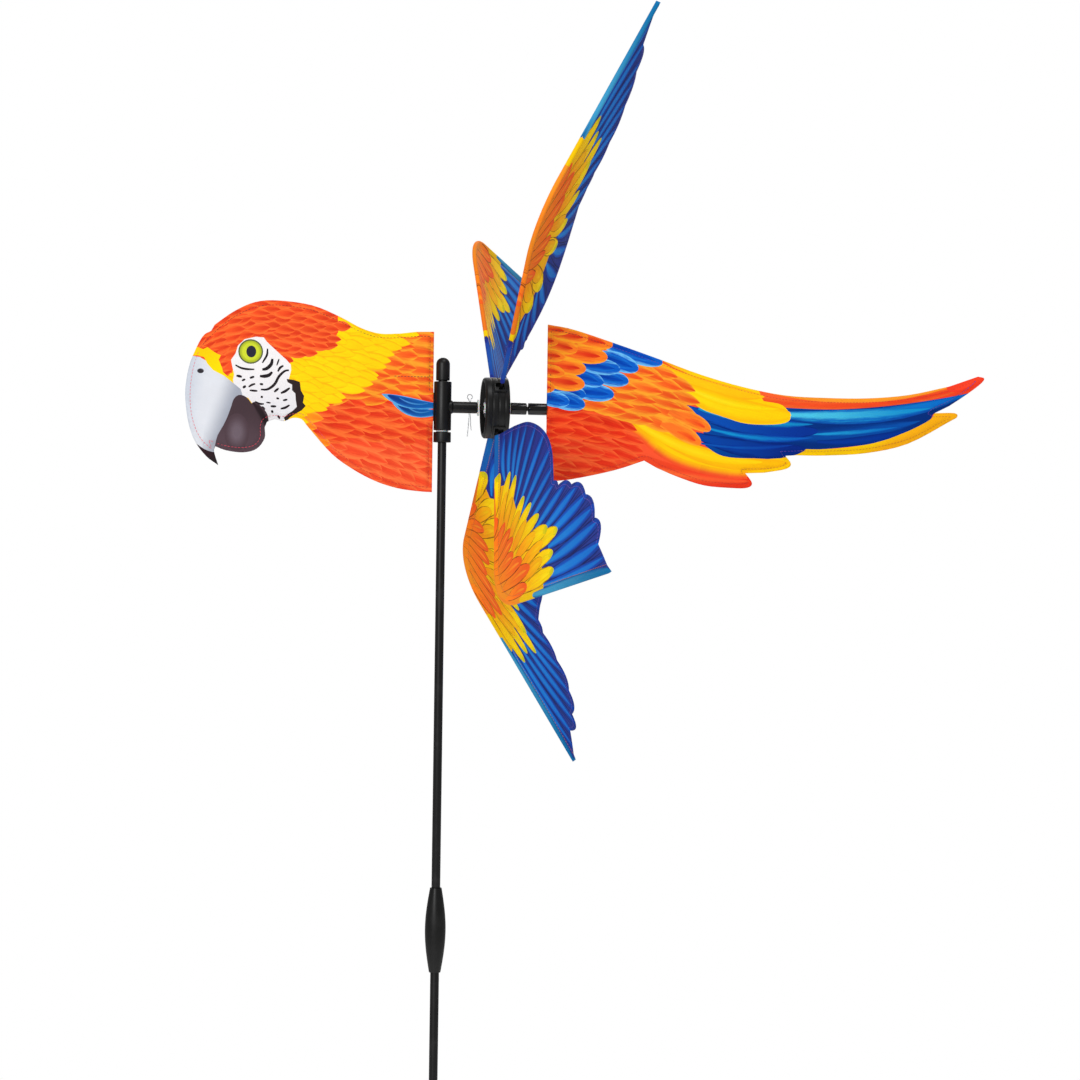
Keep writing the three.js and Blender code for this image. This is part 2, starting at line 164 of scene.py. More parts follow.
def divided(loop, longest=4.0):
    """A closed line with its longer sides cut into shorter ones."""
    line = []
    for a, b in zip(loop, np.roll(loop, -1, 0)):
        count = math.ceil(np.hypot(*(b - a)) / longest)
        line.extend(a + (b - a) * step / count for step in range(count))
    return line


def resample(line, spacing):
    """Points at even steps along a line."""
    line = np.array(line, float)
    steps = np.hypot(*np.diff(line, axis=0).T)
    reached = np.concatenate(([0], np.cumsum(steps)))
    wanted = np.linspace(0, reached[-1], max(2, int(round(reached[-1] / spacing)) + 1))
    return np.stack([np.interp(wanted, reached, line[:, axis]) for axis in (0, 1)], 1)


def normals(line):
    """The direction to the left of a line at each of its points."""
    heading = np.gradient(line, axis=0)
    heading /= np.hypot(*heading.T)[:, None]
    return np.stack((-heading[:, 1], heading[:, 0]), 1)


def part_way(start, end, share):
    """The point a share of the way from start to end."""
    return np.array(start) * (1 - share) + np.array(end) * share


def between(points, share):
    """The point that lies a share of the way through a list of points."""
    place = share * (len(points) - 1)
    index = min(int(place), len(points) - 2)
    a, b = np.array(points[index], float), np.array(points[index + 1], float)
    return a + (b - a) * (place - index)


def feather_width(u, point):
    """Half a feather's width at u of its length, as a share of the widest. A high point is a sharp tip."""
    rise = ROOT_WIDTH + (1 - ROOT_WIDTH) * np.sin(np.clip(u / WIDEST, 0, 1) * math.pi / 2)
    fall = np.clip((u - WIDEST) / (1 - WIDEST), 0, 1)
    return rise * (1 - fall**2) ** point


class Feather:
    """A printed feather. It runs from its root's colour to its tip's, and both blend into its edge's."""

    def __init__(self, base, tip, half, colours, bend=0.0, point=0.6, edge=0.5, skew=0.0):
        self.base = np.array(base, float)
        run = np.array(tip, float) - self.base
        self.length = np.hypot(*run)
        self.along = run / self.length
        self.across = np.array((-self.along[1], self.along[0]))
        self.half = half
        self.colours = colours
        self.bend = bend
        self.form = (point, edge, skew)

    def outline(self):
        root = np.linspace(0, WIDEST, 3 + int(self.length / 20), endpoint=False)
        end = WIDEST + (1 - WIDEST) * np.sin(np.linspace(0, math.pi / 2, 7))
        u = np.concatenate((root, end))
        width = np.outer(self.half * feather_width(u, self.form[0]), self.across)
        line = self.base + np.outer(u * self.length, self.along)
        line += np.outer(self.bend * 4 * u * (1 - u), self.across)
        return np.concatenate((line - width, (line + width)[-2::-1]))

    def barb(self, points):
        offset = points - self.base
        return np.stack((offset @ self.along, offset @ self.across), 1)

    def local(self, points):
        along, across = self.barb(points).T
        u = np.clip(along / self.length, 0, 1)
        return np.stack((u, (across - self.bend * 4 * u * (1 - u)) / self.half), 1)


def feathers(rows):
    """Feathers from rows of base, tip, half width, colours, bend, point, edge and skew."""
    return [Feather(*row) for row in rows]


class Patch:
    """A printed area that fades from its first colour to its second along a line."""

    def __init__(self, points, first, second=None, fade=((0, 0), (1, 0))):
        self.points = np.array(points, float)
        self.colours = (first, second or first, second or first)
        self.start, self.end = np.array(fade, float)
        self.form = (0.0, 0.5, 0.0)

    def outline(self):
        return self.points

    def barb(self, points):
        along = (self.end - self.start) / np.hypot(*(self.end - self.start))
        offset = points - self.start
        return np.stack((offset @ along, offset @ np.array((-along[1], along[0]))), 1)

    def local(self, points):
        run = self.end - self.start
        u = np.clip((points - self.start) @ run / (run @ run), 0, 1)
        return np.stack((u, 0 * u), 1)


class Disc:
    """A printed ellipse that blends from its middle's colour to its rim's."""

    def __init__(self, centre, radii, middle, rim, edge=0.5, share=1.0):
        self.centre = np.array(centre, float)
        self.radii = np.array(radii, float)
        self.colours = (middle, middle, rim)
        self.form = (0.0, edge, 0.0)
        self.share = share

    def outline(self):
        turns = np.linspace(0, 2 * math.pi, 28, endpoint=False)
        return self.centre + self.share * self.radii * np.stack((np.cos(turns), np.sin(turns)), 1)

    def barb(self, points):
        return points - self.centre

    def local(self, points):
        away = np.hypot(*((points - self.centre) / self.radii).T)
        return np.stack((np.full(len(points), WIDEST), away), 1)


def soft_disc(centre, radii, middle, rim, edge):
    """A disc cut into rings, so that it shades evenly."""
    return [Disc(centre, radii, middle, rim, edge, share) for share in (1.0, 0.75, 0.5, 0.25)]


def stroke(points, width, colour):
    """A brush stroke through the points, with tapered ends."""
    line = np.array(curve(points, 3))
    taper = STROKE_END + (1 - STROKE_END) * np.sin(np.linspace(0.12, 0.88, len(line)) * math.pi)
    half = normals(line) * (width * STROKE_HALF * taper)[:, None]
    return Patch(np.concatenate((line - half, (line + half)[::-1])), colour)


def blended(line, width, first, second):
    """A soft border along a line: short patches that fade across it, from its right side to its left."""
    line = resample(line, 9.0)
    aside = normals(line) * width / 2
    found = []
    for a, b, side_a, side_b in zip(line, line[1:], aside, aside[1:]):
        middle = (a + b) / 2
        reach = (side_a + side_b) / 2
        corners = [a - side_a, b - side_b, b + side_b, a + side_a]
        found.append(Patch(corners, first, second, (middle - reach, middle + reach)))
    return found


def shingles(region, heading, pitch, row, length, half, colours, rng, point, edge):
    """Rows of feathers that fill a region. Each row lies on the one it points to."""
    def stray(kind):
        return rng.uniform(-STRAY[kind], STRAY[kind])

    outline = np.array(region, float)
    low, high = outline.min(0), outline.max(0)
    found = []
    x, odd = high[0] + pitch, False
    while x > low[0] - pitch:
        for y in np.arange(low[1] + (row / 2 if odd else 0), high[1] + row, row):
            tip = (x + stray("along") * pitch, y + stray("across") * row)
            if not inside([tip], outline)[0]:
                continue
            angle = math.radians(heading(*tip) + stray("angle"))
            size = length * rng.uniform(0.85, 1.2)
            base = (tip[0] - size * math.cos(angle), tip[1] - size * math.sin(angle))
            width = half * rng.uniform(0.85, 1.15)
            found.append(Feather(base, tip, width, colours(*tip), stray("bend"), point, edge))
        x -= pitch
        odd = not odd
    return found


# ---- Cloth meshes ----


class Cut:
    """A flat cloth cut along the shapes printed on it."""

    def __init__(self, outline, shapes, rows=(), fine=2.2, coarse=5.0, border=11.0):
        self.outline = counterclockwise(outline)
        base = Patch(self.outline, *shapes[0])
        self.shapes = [base] + list(shapes[1:])
        points, faces, edges = [], [], []
        for shape in self.shapes:
            loop = divided(counterclockwise(shape.outline()))
            faces.append(list(range(len(points), len(points) + len(loop))))
            points.extend(loop)
        for line in rows:
            first = len(points)
            points.extend(line)
            edges.extend((i, i + 1) for i in range(first, len(points) - 1))
        points.extend(self.filling(fine, coarse, border))
        vertices, _, triangles, _, _, sources = delaunay_2d_cdt(
            [Vector(p) for p in points], edges, faces, 0, 1e-4, True)
        kept = [(triangle, max(source)) for triangle, source in zip(triangles, sources) if 0 in source]
        self.points = np.array([tuple(v) for v in vertices])
        self.triangles = np.array([triangle for triangle, _ in kept])
        self.shown = np.array([shape for _, shape in kept])
        used = np.unique(self.triangles)
        renumber = np.zeros(len(self.points), int)
        renumber[used] = np.arange(len(used))
        self.points = self.points[used]
        self.triangles = renumber[self.triangles]

    def filling(self, fine, coarse, border):
        """Extra points, close together beside the edge and sparse in the middle."""
        low, high = self.outline.min(0), self.outline.max(0)
        found = []
        for spacing, near in ((fine, True), (coarse, False)):
            x, y = np.meshgrid(np.arange(low[0] + 0.37, high[0], spacing),
                               np.arange(low[1] + 0.41, high[1], spacing * 0.866))
            x = x + (np.arange(len(x)) % 2)[:, None] * spacing / 2
            grid = np.stack((x.ravel(), y.ravel()), 1)
            grid = grid[inside(grid, self.outline)]
            distance, _ = edge_distance(grid, self.outline)
            keep = (distance < border) & (distance > 0.6) if near else distance >= border
            found.extend(grid[keep])
        return found

    def rims(self):
        """The triangles' sides that lie on the cloth's edge, and the triangle that each belongs to."""
        sides = {}
        for index, triangle in enumerate(self.triangles):
            for a, b in zip(triangle, np.roll(triangle, -1)):
                sides[(int(a), int(b))] = index
        return [(a, b, index) for (a, b), index in sides.items() if (b, a) not in sides]


def cloth_mesh(name, cut, above, below):
    """A closed thin cloth between two surfaces, printed on both."""
    count = len(cut.points)
    vertices = np.concatenate((above(cut.points), below(cut.points)))
    rims = cut.rims()
    rim_faces = np.array([(b, a, a + count, b + count) for a, b, _ in rims])
    corners = np.concatenate((
        cut.triangles.ravel(), (cut.triangles[:, ::-1] + count).ravel(), rim_faces.ravel()))
    triangles = len(cut.triangles)
    sizes = np.concatenate((np.full(2 * triangles, 3), np.full(len(rims), 4)))
    mesh = bpy.data.meshes.new(name)
    mesh.vertices.add(len(vertices))
    mesh.vertices.foreach_set("co", vertices.ravel())
    mesh.loops.add(len(corners))
    mesh.loops.foreach_set("vertex_index", corners)
    mesh.polygons.add(len(sizes))
    mesh.polygons.foreach_set("loop_start", np.concatenate(([0], np.cumsum(sizes)[:-1])))
    mesh.polygons.foreach_set("use_smooth", np.arange(len(sizes)) < 2 * triangles)
    mesh.update(calc_edges=True)
    owner = np.concatenate((cut.shown, cut.shown, cut.shown[[index for _, _, index in rims]]))
    paint_corners(mesh, cut, corners % count, np.repeat(owner, sizes))
    return mesh


def paint_corners(mesh, cut, places, shown):
    """Writes each corner's printed shape: where it lies in it, and the shape's colours and form."""
    rng = random.Random(5)
    total = len(places)
    layers = {"feather": np.zeros((total, 2)), "barb": np.zeros((total, 2)), "flat": cut.points[places]}
    colours = {key: np.ones((total, 4)) for key in ("root", "tip", "edge", "form")}
    for index, shape in enumerate(cut.shapes):
        chance = rng.random()
        mine = shown == index
        if not mine.any():
            continue
        points = cut.points[places[mine]]
        layers["feather"][mine] = shape.local(points)
        layers["barb"][mine] = shape.barb(points)
        for key, colour in zip(("root", "tip", "edge"), shape.colours):
            colours[key][mine, :3] = colour
        colours["form"][mine] = (*shape.form, chance)
    for key, values in layers.items():
        mesh.uv_layers.new(name=key).data.foreach_set("uv", values.ravel())
    for key, values in colours.items():
        mesh.color_attributes.new(key, "FLOAT_COLOR", "CORNER").data.foreach_set("color", values.ravel())


# ---- Materials ----


class Graph:
    """A material and the nodes that make it."""

    def __init__(self, name):
        self.material = bpy.data.materials.new(name)
        self.material.use_nodes = True
        self.tree = self.material.node_tree
        self.tree.nodes.clear()

    def node(self, kind, inputs=None, **settings):
        made = self.tree.nodes.new("ShaderNode" + kind)
        for key, value in settings.items():
            setattr(made, key, value)
        for socket, value in (inputs or {}).items():
            if isinstance(value, bpy.types.NodeSocket):
                self.tree.links.new(value, made.inputs[socket])
            elif value is not None:
                made.inputs[socket].default_value = value
        return made

    def where(self):
        return self.node("TexCoord").outputs["Object"]

    def math(self, operation, *values):
        return self.node("Math", dict(enumerate(values)), operation=operation).outputs[0]

    def scaled(self, value, factor, offset):
        return self.math("MULTIPLY_ADD", value, factor, offset)

    def smooth(self, value, low, high, start=0.0, end=1.0):
        """A soft step of value between low and high, from start to end."""
        inputs = {"Value": value, "From Min": low, "From Max": high, "To Min": start, "To Max": end}
        return self.node("MapRange", inputs, interpolation_type="SMOOTHSTEP").outputs[0]

    def mix(self, factor, first, second, blend="MIX"):
        made = self.node("Mix", {0: factor, 6: first, 7: second}, data_type="RGBA", blend_type=blend)
        return made.outputs[2]

    def noise(self, vector, scale, detail=2.0, roughness=0.5):
        inputs = {"Vector": vector, "Scale": scale, "Detail": detail, "Roughness": roughness}
        return self.node("TexNoise", inputs).outputs[0]

    def stretch(self, vector, scale):
        inputs = {0: vector, 1: scale}
        return self.node("VectorMath", inputs, operation="MULTIPLY").outputs[0]

    def bump(self, height, strength, distance, normal=None):
        inputs = {"Height": height, "Strength": strength, "Distance": distance, "Normal": normal}
        return self.node("Bump", inputs).outputs[0]

    def finish(self, colour, roughness, normal=None, **constants):
        """Ends the graph in a Principled shader. Constants are given by socket name, with _ for a space."""
        inputs = {"Base Color": colour, "Roughness": roughness, "Normal": normal}
        shader = self.node("BsdfPrincipled", inputs)
        for key, value in constants.items():
            shader.inputs[key.replace("_", " ")].default_value = value
        self.node("OutputMaterial", {"Surface": shader.outputs[0]})
        return self.material


def solid(colour):
    return (*colour, 1.0)


def paints(codes):
    """Opaque colours from their codes."""
    return [solid(colour) for colour in inks(codes)]


THREAD_PITCH = 0.55     # of the woven cloth, in millimetres


def weave_height(graph, flat):
    """Plain weave: threads over and under."""
    place = graph.node("SeparateXYZ", {0: flat})
    waves = [graph.math("SINE", graph.math("MULTIPLY", place.outputs[axis], 2 * math.pi / THREAD_PITCH))
             for axis in (0, 1)]
    return graph.math("MULTIPLY", *waves)


def printed_cloth(name, streaks, sheen):
    """Woven polyester with dye-printed feathers, shaded from each corner's place in its feather."""
    graph = Graph(name)
    place = graph.node("SeparateXYZ", {0: graph.node("UVMap", uv_map="feather").outputs[0]})
    u, v = place.outputs[0], place.outputs[1]
    form = graph.node("Attribute", attribute_name="form")
    kinds = graph.node("SeparateColor", {0: form.outputs["Color"]})
    point, edge, skew = kinds.outputs[0], kinds.outputs[1], kinds.outputs[2]
    chance = form.outputs["Alpha"]

    turn = graph.math("MULTIPLY", graph.math("MINIMUM", graph.math("DIVIDE", u, WIDEST), 1.0), math.pi / 2)
    rise = graph.scaled(graph.math("SINE", turn), 1 - ROOT_WIDTH, ROOT_WIDTH)
    fall = graph.node("MapRange", {"Value": u, "From Min": WIDEST, "From Max": 1.0}).outputs[0]
    close = graph.math("SUBTRACT", 1.0001, graph.math("MULTIPLY", fall, fall))
    width = graph.math("MULTIPLY", rise, graph.math("POWER", close, point))
    off = graph.math("SUBTRACT", graph.math("DIVIDE", v, width), skew)
    reach = graph.math("SUBTRACT", 1.0, graph.math("MULTIPLY", skew, graph.math("SIGN", off)))
    outward = graph.math("DIVIDE", graph.math("ABSOLUTE", off), reach)

    barb = graph.node("UVMap", uv_map="barb").outputs[0]
    shift = graph.node("CombineXYZ", {2: graph.math("MULTIPLY", chance, 90.0)}).outputs[0]
    barb = graph.node("VectorMath", {0: graph.stretch(barb, (0.07, 0.75, 1.0)), 1: shift}).outputs[0]
    lively = graph.math("MINIMUM", graph.scaled(point, 4.0, 0.12), 1.0)
    streak = graph.math("SUBTRACT", graph.noise(barb, 1.0, 3.0, 0.6), 0.5)
    streak = graph.math("MULTIPLY", streak, lively)
    flat = graph.node("UVMap", uv_map="flat").outputs[0]
    cloud = graph.noise(flat, 0.05, 2.0)

    ragged = graph.scaled(streak, streaks, outward)
    rim = graph.smooth(ragged, edge, 1.0)
    along = graph.smooth(graph.scaled(streak, 0.4, u), 0.1, 0.95)
    heart = graph.mix(along, *(graph.node("Attribute", attribute_name=key).outputs["Color"]
                               for key in ("root", "tip")))
    colour = graph.mix(rim, heart, graph.node("Attribute", attribute_name="edge").outputs["Color"])
    tone = graph.scaled(streak, 0.35, 1.0)
    tone = graph.scaled(graph.math("SUBTRACT", chance, 0.5), 0.1, tone)
    tone = graph.scaled(graph.math("SUBTRACT", cloud, 0.5), 0.12, tone)
    weave = weave_height(graph, flat)
    # Painted shade: the weave's height also tints the print, darker where the threads dip and lighter on
    # their tops.
    tone = graph.scaled(weave, 0.025, tone)
    tinted = graph.mix(1.0, colour, graph.node("CombineColor", {0: tone, 1: tone, 2: tone}).outputs[0],
                       "MULTIPLY")
    roughness = graph.scaled(cloud, 0.16, 0.62)
    slack = graph.bump(graph.noise(flat, 0.09, 3.0), 0.25, 0.6 * MM)
    normal = graph.bump(weave, 0.25, 0.05 * MM, slack)
    return graph.finish(tinted, roughness, normal, Sheen_Weight=sheen, Sheen_Roughness=0.5,
                        Specular_IOR_Level=0.06)


def moulded_plastic(name, colour, roughness, grain):
    """Moulded plastic with a fine spark-eroded grain and faint handling marks."""
    graph = Graph(name)
    where = graph.where()
    fine = graph.noise(where, 1500.0, 3.0)
    marks = graph.smooth(graph.noise(where, 55.0, 4.0, 0.6), 0.45, 0.75)
    paler = solid([min(1.0, channel * 1.6 + 0.002) for channel in colour])
    shade = graph.mix(marks, solid(colour), paler)
    rough = graph.math("ADD", graph.scaled(fine, 0.12, roughness - 0.06), graph.math("MULTIPLY", marks, 0.08))
    return graph.finish(shade, rough, graph.bump(fine, grain, 0.08 * MM), Specular_IOR_Level=0.36)


def fibreglass(name):
    """Pultruded rod: a satin black skin with faint lengthwise fibres."""
    graph = Graph(name)
    where = graph.where()
    fibres = graph.noise(graph.stretch(where, (1800.0, 1800.0, 18.0)), 1.0, 3.0)
    scuffs = graph.smooth(graph.noise(where, 32.0, 5.0, 0.65), 0.5, 0.72)
    black, charcoal, scuffed = paints("070707 121112 323032")
    shade = graph.mix(fibres, black, charcoal)
    shade = graph.mix(graph.math("MULTIPLY", scuffs, 0.35), shade, scuffed)
    rough = graph.math("ADD", graph.scaled(fibres, 0.14, 0.34), graph.math("MULTIPLY", scuffs, 0.1))
    return graph.finish(shade, rough, graph.bump(fibres, 0.3, 0.04 * MM), Specular_IOR_Level=0.36)


def glossy_tube(name):
    """A polished black sleeve with a few dust specks."""
    graph = Graph(name)
    dust = graph.smooth(graph.noise(graph.where(), 900.0, 4.0, 0.7), 0.62, 0.72)
    shade = graph.mix(graph.math("MULTIPLY", dust, 0.3), *paints("080809 464648"))
    return graph.finish(shade, graph.scaled(dust, 0.3, 0.14), None, Specular_IOR_Level=0.5)


def drawn_steel(name):
    """Bright spring wire with drawing lines along it."""
    graph = Graph(name)
    lines = graph.noise(graph.stretch(graph.where(), (6000.0, 6000.0, 60.0)), 1.0, 2.0)
    shade = graph.mix(lines, *paints("a8aaae d6d8db"))
    return graph.finish(shade, graph.scaled(lines, 0.2, 0.2), None, Metallic=1.0)


def natural_nylon(name):
    """Translucent off-white nylon."""
    graph = Graph(name)
    cloud = graph.noise(graph.where(), 260.0, 3.0)
    shade = graph.mix(cloud, *paints("dededa f0f1ee"))
    return graph.finish(shade, graph.scaled(cloud, 0.15, 0.3), None,
                        Subsurface_Weight=0.4, Subsurface_Scale=1.5 * MM)


def foam_board(name):
    """Closed-cell foam board: tiny cells on an off-white face, each with painted shade in its hollow."""
    graph = Graph(name)
    cells = graph.node("TexVoronoi", {"Vector": graph.where(), "Scale": 1200.0}).outputs["Distance"]
    # Painted shade: each cell is coloured darker towards its middle, where the bump sinks into a hollow.
    shade = graph.mix(cells, *paints("e2e0db f3f1ed"))
    return graph.finish(shade, 0.85, graph.bump(cells, 0.4, 0.2 * MM))


def sewing_thread(name, colour):
    """Twisted polyester thread."""
    graph = Graph(name)
    twist = graph.noise(graph.where(), 4000.0, 2.0)
    paler = solid([min(1.0, channel * 1.35 + 0.01) for channel in colour])
    return graph.finish(graph.mix(twist, solid(colour), paler), graph.scaled(twist, 0.2, 0.5), None,
                        Sheen_Weight=0.2, Sheen_Roughness=0.4)


def studio_floor_paint(name):
    graph = Graph(name)
    where = graph.where()
    shade = graph.mix(graph.noise(where, 3.0, 4.0), *paints("f2f2f1 f8f8f7"))
    return graph.finish(shade, 0.7, graph.bump(graph.noise(where, 260.0, 3.0), 0.1, 0.3 * MM))


LOOKS = {       # each slot's material
    "black_plastic": moulded_plastic("black_moulded_plastic", ink("090909"), 0.38, 0.35),
    "black_rod": fibreglass("satin_black_rod"),
    "gloss_sleeve": glossy_tube("gloss_black_tube"),
    "steel_wire": drawn_steel("spring_wire"),
    "clear_plastic": natural_nylon("natural_nylon"),
    "body_cloth": printed_cloth("printed_body_cloth", 0.9, 0.01),
    "wing_cloth": printed_cloth("printed_wing_cloth", 0.45, 0.01),
}
FOAM = foam_board("foam_core")      # for the two boards, which stay CAD nodes
THREADS = {
    colour: sewing_thread(f"{colour}_thread", ink(code)) for colour, code in (
        ("rose", "d63c54"), ("brown", "541810"), ("scarlet", "b8220e"), ("amber", "b06008"),
        ("violet", "5432a0"))
}

# ---- Pieces ----


def add_piece(name, mesh, materials, body, replaces=()):
    """Puts a mesh in the scene, on its body, in place of its CAD nodes."""
    for material in materials:
        mesh.materials.append(material)
    piece = bpy.data.objects.new(name, mesh)
    bpy.context.scene.collection.objects.link(piece)
    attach(piece, body)
    if replaces:
        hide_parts(*replaces)
    return piece


def rounded(profile, radius, steps=3):
    """A profile with its corners eased. Its first and last points stay."""
    points = np.array(profile, float)
    eased = [points[0]]
    for before, corner, after in zip(points, points[1:], points[2:]):
        reach = [min(radius, 0.45 * np.hypot(*(end - corner))) for end in (before, after)]
        start = corner + (before - corner) * reach[0] / max(np.hypot(*(before - corner)), 1e-9)
        end = corner + (after - corner) * reach[1] / max(np.hypot(*(after - corner)), 1e-9)
        for t in np.linspace(0, 1, steps + 1):
            eased.append((1 - t) ** 2 * start + 2 * t * (1 - t) * corner + t**2 * end)
    eased.append(points[-1])
    return eased


def lathe(profile, turn=None, segments=72):
    """A closed solid of revolution in millimetres, from (radius, height) points, turned by a matrix."""
    built = bmesh.new()
    closed = np.allclose(profile[0], profile[-1])
    rings = []
    for radius, height in profile[:-1] if closed else profile:
        count = 1 if radius < 1e-6 else segments
        angles = [2 * math.pi * i / segments for i in range(count)]
        rings.append([built.verts.new((radius * math.cos(a), radius * math.sin(a), height)) for a in angles])
    if closed:
        rings.append(rings[0])
    for low, high in zip(rings, rings[1:]):
        for i in range(segments):
            j = (i + 1) % segments
            corners = [low[i % len(low)], low[j % len(low)], high[j % len(high)], high[i % len(high)]]
            corners = list(dict.fromkeys(corners))
            if len(corners) > 2:
                built.faces.new(corners)
    bmesh.ops.recalc_face_normals(built, faces=built.faces)
    if turn is not None:
        built.transform(turn)
    return built


def tube_ring(inner, outer, start, end, ease=0.4):
    """The profile of a round sleeve with eased corners."""
    middle = (inner, (start + end) / 2)
    return rounded([middle, (inner, start), (outer, start), (outer, end), (inner, end), middle], ease)


def to_mesh(name, built, sharp_angle=38.0):
    """Turns millimetre mesh code into a smooth-shaded mesh in metres, placed at the axle."""
    built.transform(Matrix.Translation(AXLE) @ Matrix.Scale(MM, 4))
    mesh = bpy.data.meshes.new(name)
    built.to_mesh(mesh)
    built.free()
    mesh.polygons.foreach_set("use_smooth", [True] * len(mesh.polygons))
    mesh.set_sharp_from_angle(angle=math.radians(sharp_angle))
    return mesh


def add_solid(name, built, body, slot, node):
    """Puts millimetre mesh code in the scene, in its slot's material, in place of a CAD node."""
    add_piece(name, to_mesh(name, built), [LOOKS[slot]], body, [node])


def cylinder(radius, start, end, ease=0.0, turn=None, segments=72):
    """A solid round bar. Its ends' edges are eased if ease is given."""
    profile = [(0, start), (radius, start), (radius, end), (0, end)]
    return lathe(rounded(profile, ease) if ease else profile, turn, segments)


ALONG_AXLE = Matrix.Rotation(math.radians(90), 4, "Y")


def box(x, y, z, ease=0.5):
    """A box between pairs of limits, with eased edges."""
    built = bmesh.new()
    bmesh.ops.create_cube(built, size=1)
    scale = Matrix.Diagonal((x[1] - x[0], y[1] - y[0], z[1] - z[0], 1))
    middle = Matrix.Translation((sum(x) / 2, sum(y) / 2, sum(z) / 2))
    built.transform(middle @ scale)
    if ease:
        bmesh.ops.bevel(built, geom=built.edges[:], offset=ease, segments=2, affect="EDGES", profile=0.5)
    return built


def carve(joined, removed):
    """Joins solids and cuts others out of them, with exact booleans."""
    def temporary(built):
        mesh = bpy.data.meshes.new("carving")
        built.to_mesh(mesh)
        built.free()
        made = bpy.data.objects.new("carving", mesh)
        bpy.context.scene.collection.objects.link(made)
        return made

    body = temporary(joined[0])
    tools = [(temporary(built), "UNION") for built in joined[1:]]
    tools += [(temporary(built), "DIFFERENCE") for built in removed]
    for tool, operation in tools:
        modifier = body.modifiers.new("carve", "BOOLEAN")
        modifier.operation = operation
        modifier.solver = "EXACT"
        modifier.object = tool
    result = bmesh.new()
    result.from_object(body, bpy.context.evaluated_depsgraph_get())
    for used in [body] + [tool for tool, _ in tools]:
        mesh = used.data
        bpy.data.objects.remove(used)
        bpy.data.meshes.remove(mesh)
    return result


def tube(path, radius, sides=12):
    """A round bar along a path of 3-D points."""
    built = bmesh.new()
    path = [Vector(p) for p in path]
    side = Vector((0, 1, 0))
    rings = []
    for index, point in enumerate(path):
        ahead = path[min(index + 1, len(path) - 1)] - path[max(index - 1, 0)]
        ahead.normalize()
        side = (side - ahead * side.dot(ahead)).normalized()
        other = ahead.cross(side)
        rings.append([
            built.verts.new(point + radius * (math.cos(a) * side + math.sin(a) * other))
            for a in (2 * math.pi * i / sides for i in range(sides))
        ])
    for low, high in zip(rings, rings[1:]):
        for i in range(sides):
            j = (i + 1) % sides
            built.faces.new((low[i], low[j], high[j], high[i]))
    built.faces.new(rings[0][::-1])
    built.faces.new(rings[-1])
    bmesh.ops.recalc_face_normals(built, faces=built.faces)
    return built


# ---- Pole, and every plain ring ----

CLEARANCE = 0.3     # between a bore and what it holds
POLE_RADIUS = span("upper_pole", 0)[1]
TEE_RADIUS = span("swivel_collar", 0)[1]
CAP_WALL = 4        # from the top of the cap's dome to its bore
WAIST = 5.3         # radius of the spindle's ends
AXLE_RADIUS = 2.0
RINGS = [           # name, CAD node, body, slot, the axis it runs along, ease
    ("stop_collar", "swivel_collar", "pole", "black_plastic", 2, 0.5),
    ("thrust_washer", "swivel_washer", "pole", "clear_plastic", 2, 0.2),
    ("washer_front", "front_washer", "vane", "clear_plastic", 0, 0.3),
    ("washer_rear", "rear_washer", "vane", "clear_plastic", 0, 0.2),
    ("sleeve_stop", "stop_sleeve", "vane", "gloss_sleeve", 0, 0.9),
    ("sleeve_tail", "tail_sleeve", "vane", "gloss_sleeve", 0, 0.9),
]


def build_rod(name, node):
    add_solid(name, cylinder(POLE_RADIUS, *span(node, 2), 0.5), "pole", "black_rod", node)


def build_connector():
    """A spindle with a fine waist at both ends."""
    low, high = span("pole_connector", 2)
    widest = span("pole_connector", 0)[1]
    middle, half = (low + high) / 2, (high - low) / 2
    bore = POLE_RADIUS + CLEARANCE
    outer = [(WAIST + (widest - WAIST) * math.cos(along * math.pi / 2), middle + along * half)
             for along in np.linspace(-1, 1, 41)]
    profile = rounded([(bore, middle), (bore, low), outer[0]], 0.3) + outer[1:-1]
    profile += rounded([outer[-1], (bore, high), (bore, middle)], 0.3)
    add_solid("grip_sleeve", lathe(profile), "pole", "black_plastic", "pole_connector")


def build_rings():
    """Every plain ring on the pole or on the axle, as wide as its node."""
    for name, node, body, slot, axis, ease in RINGS:
        bore, turn = (AXLE_RADIUS, ALONG_AXLE) if axis == 0 else (POLE_RADIUS, None)
        outer = span(node, 2 - axis)[1]
        ring = lathe(tube_ring(bore + CLEARANCE, outer, *span(node, axis), ease), turn)
        add_solid(name, ring, body, slot, node)


def build_cap():
    low, high = span("pole_cap", 2)
    radius = span("pole_cap", 0)[1]
    bore = POLE_RADIUS + CLEARANCE
    dome = [(radius * math.cos(a), high - radius + radius * math.sin(a))
            for a in np.linspace(0, math.pi / 2, 14)]
    dome[-1] = (0, high)
    inner = [(0, high - CAP_WALL), (bore, high - CAP_WALL), (bore, low), (radius, low), dome[0]]
    add_solid("domed_cap", lathe(rounded(inner, 0.5) + dome[1:]), "pole", "black_plastic", "pole_cap")


def build_pole():
    build_rod("pole_rod_lower", "lower_pole")
    build_rod("pole_rod_upper", "upper_pole")
    build_connector()
    build_cap()


# ---- Tee, axle and split pin ----

BRANCH_RADIUS = 5.3
FLARE_RADIUS = 6.3          # where the branch leaves the upright sleeve
TEE_ENDS = (-21.3, 23.1)    # the upright sleeve's lower and upper end
SOCKET_START = 9.2          # of the hole that holds the axle
PIN_X = 25                  # the split pin's place along the axle
PIN_HOLE = (1.15, -9, 9)    # its hole's radius, lower end and upper end


def pin_hole():
    return cylinder(*PIN_HOLE, turn=Matrix.Translation((PIN_X, 0, 0)), segments=24)


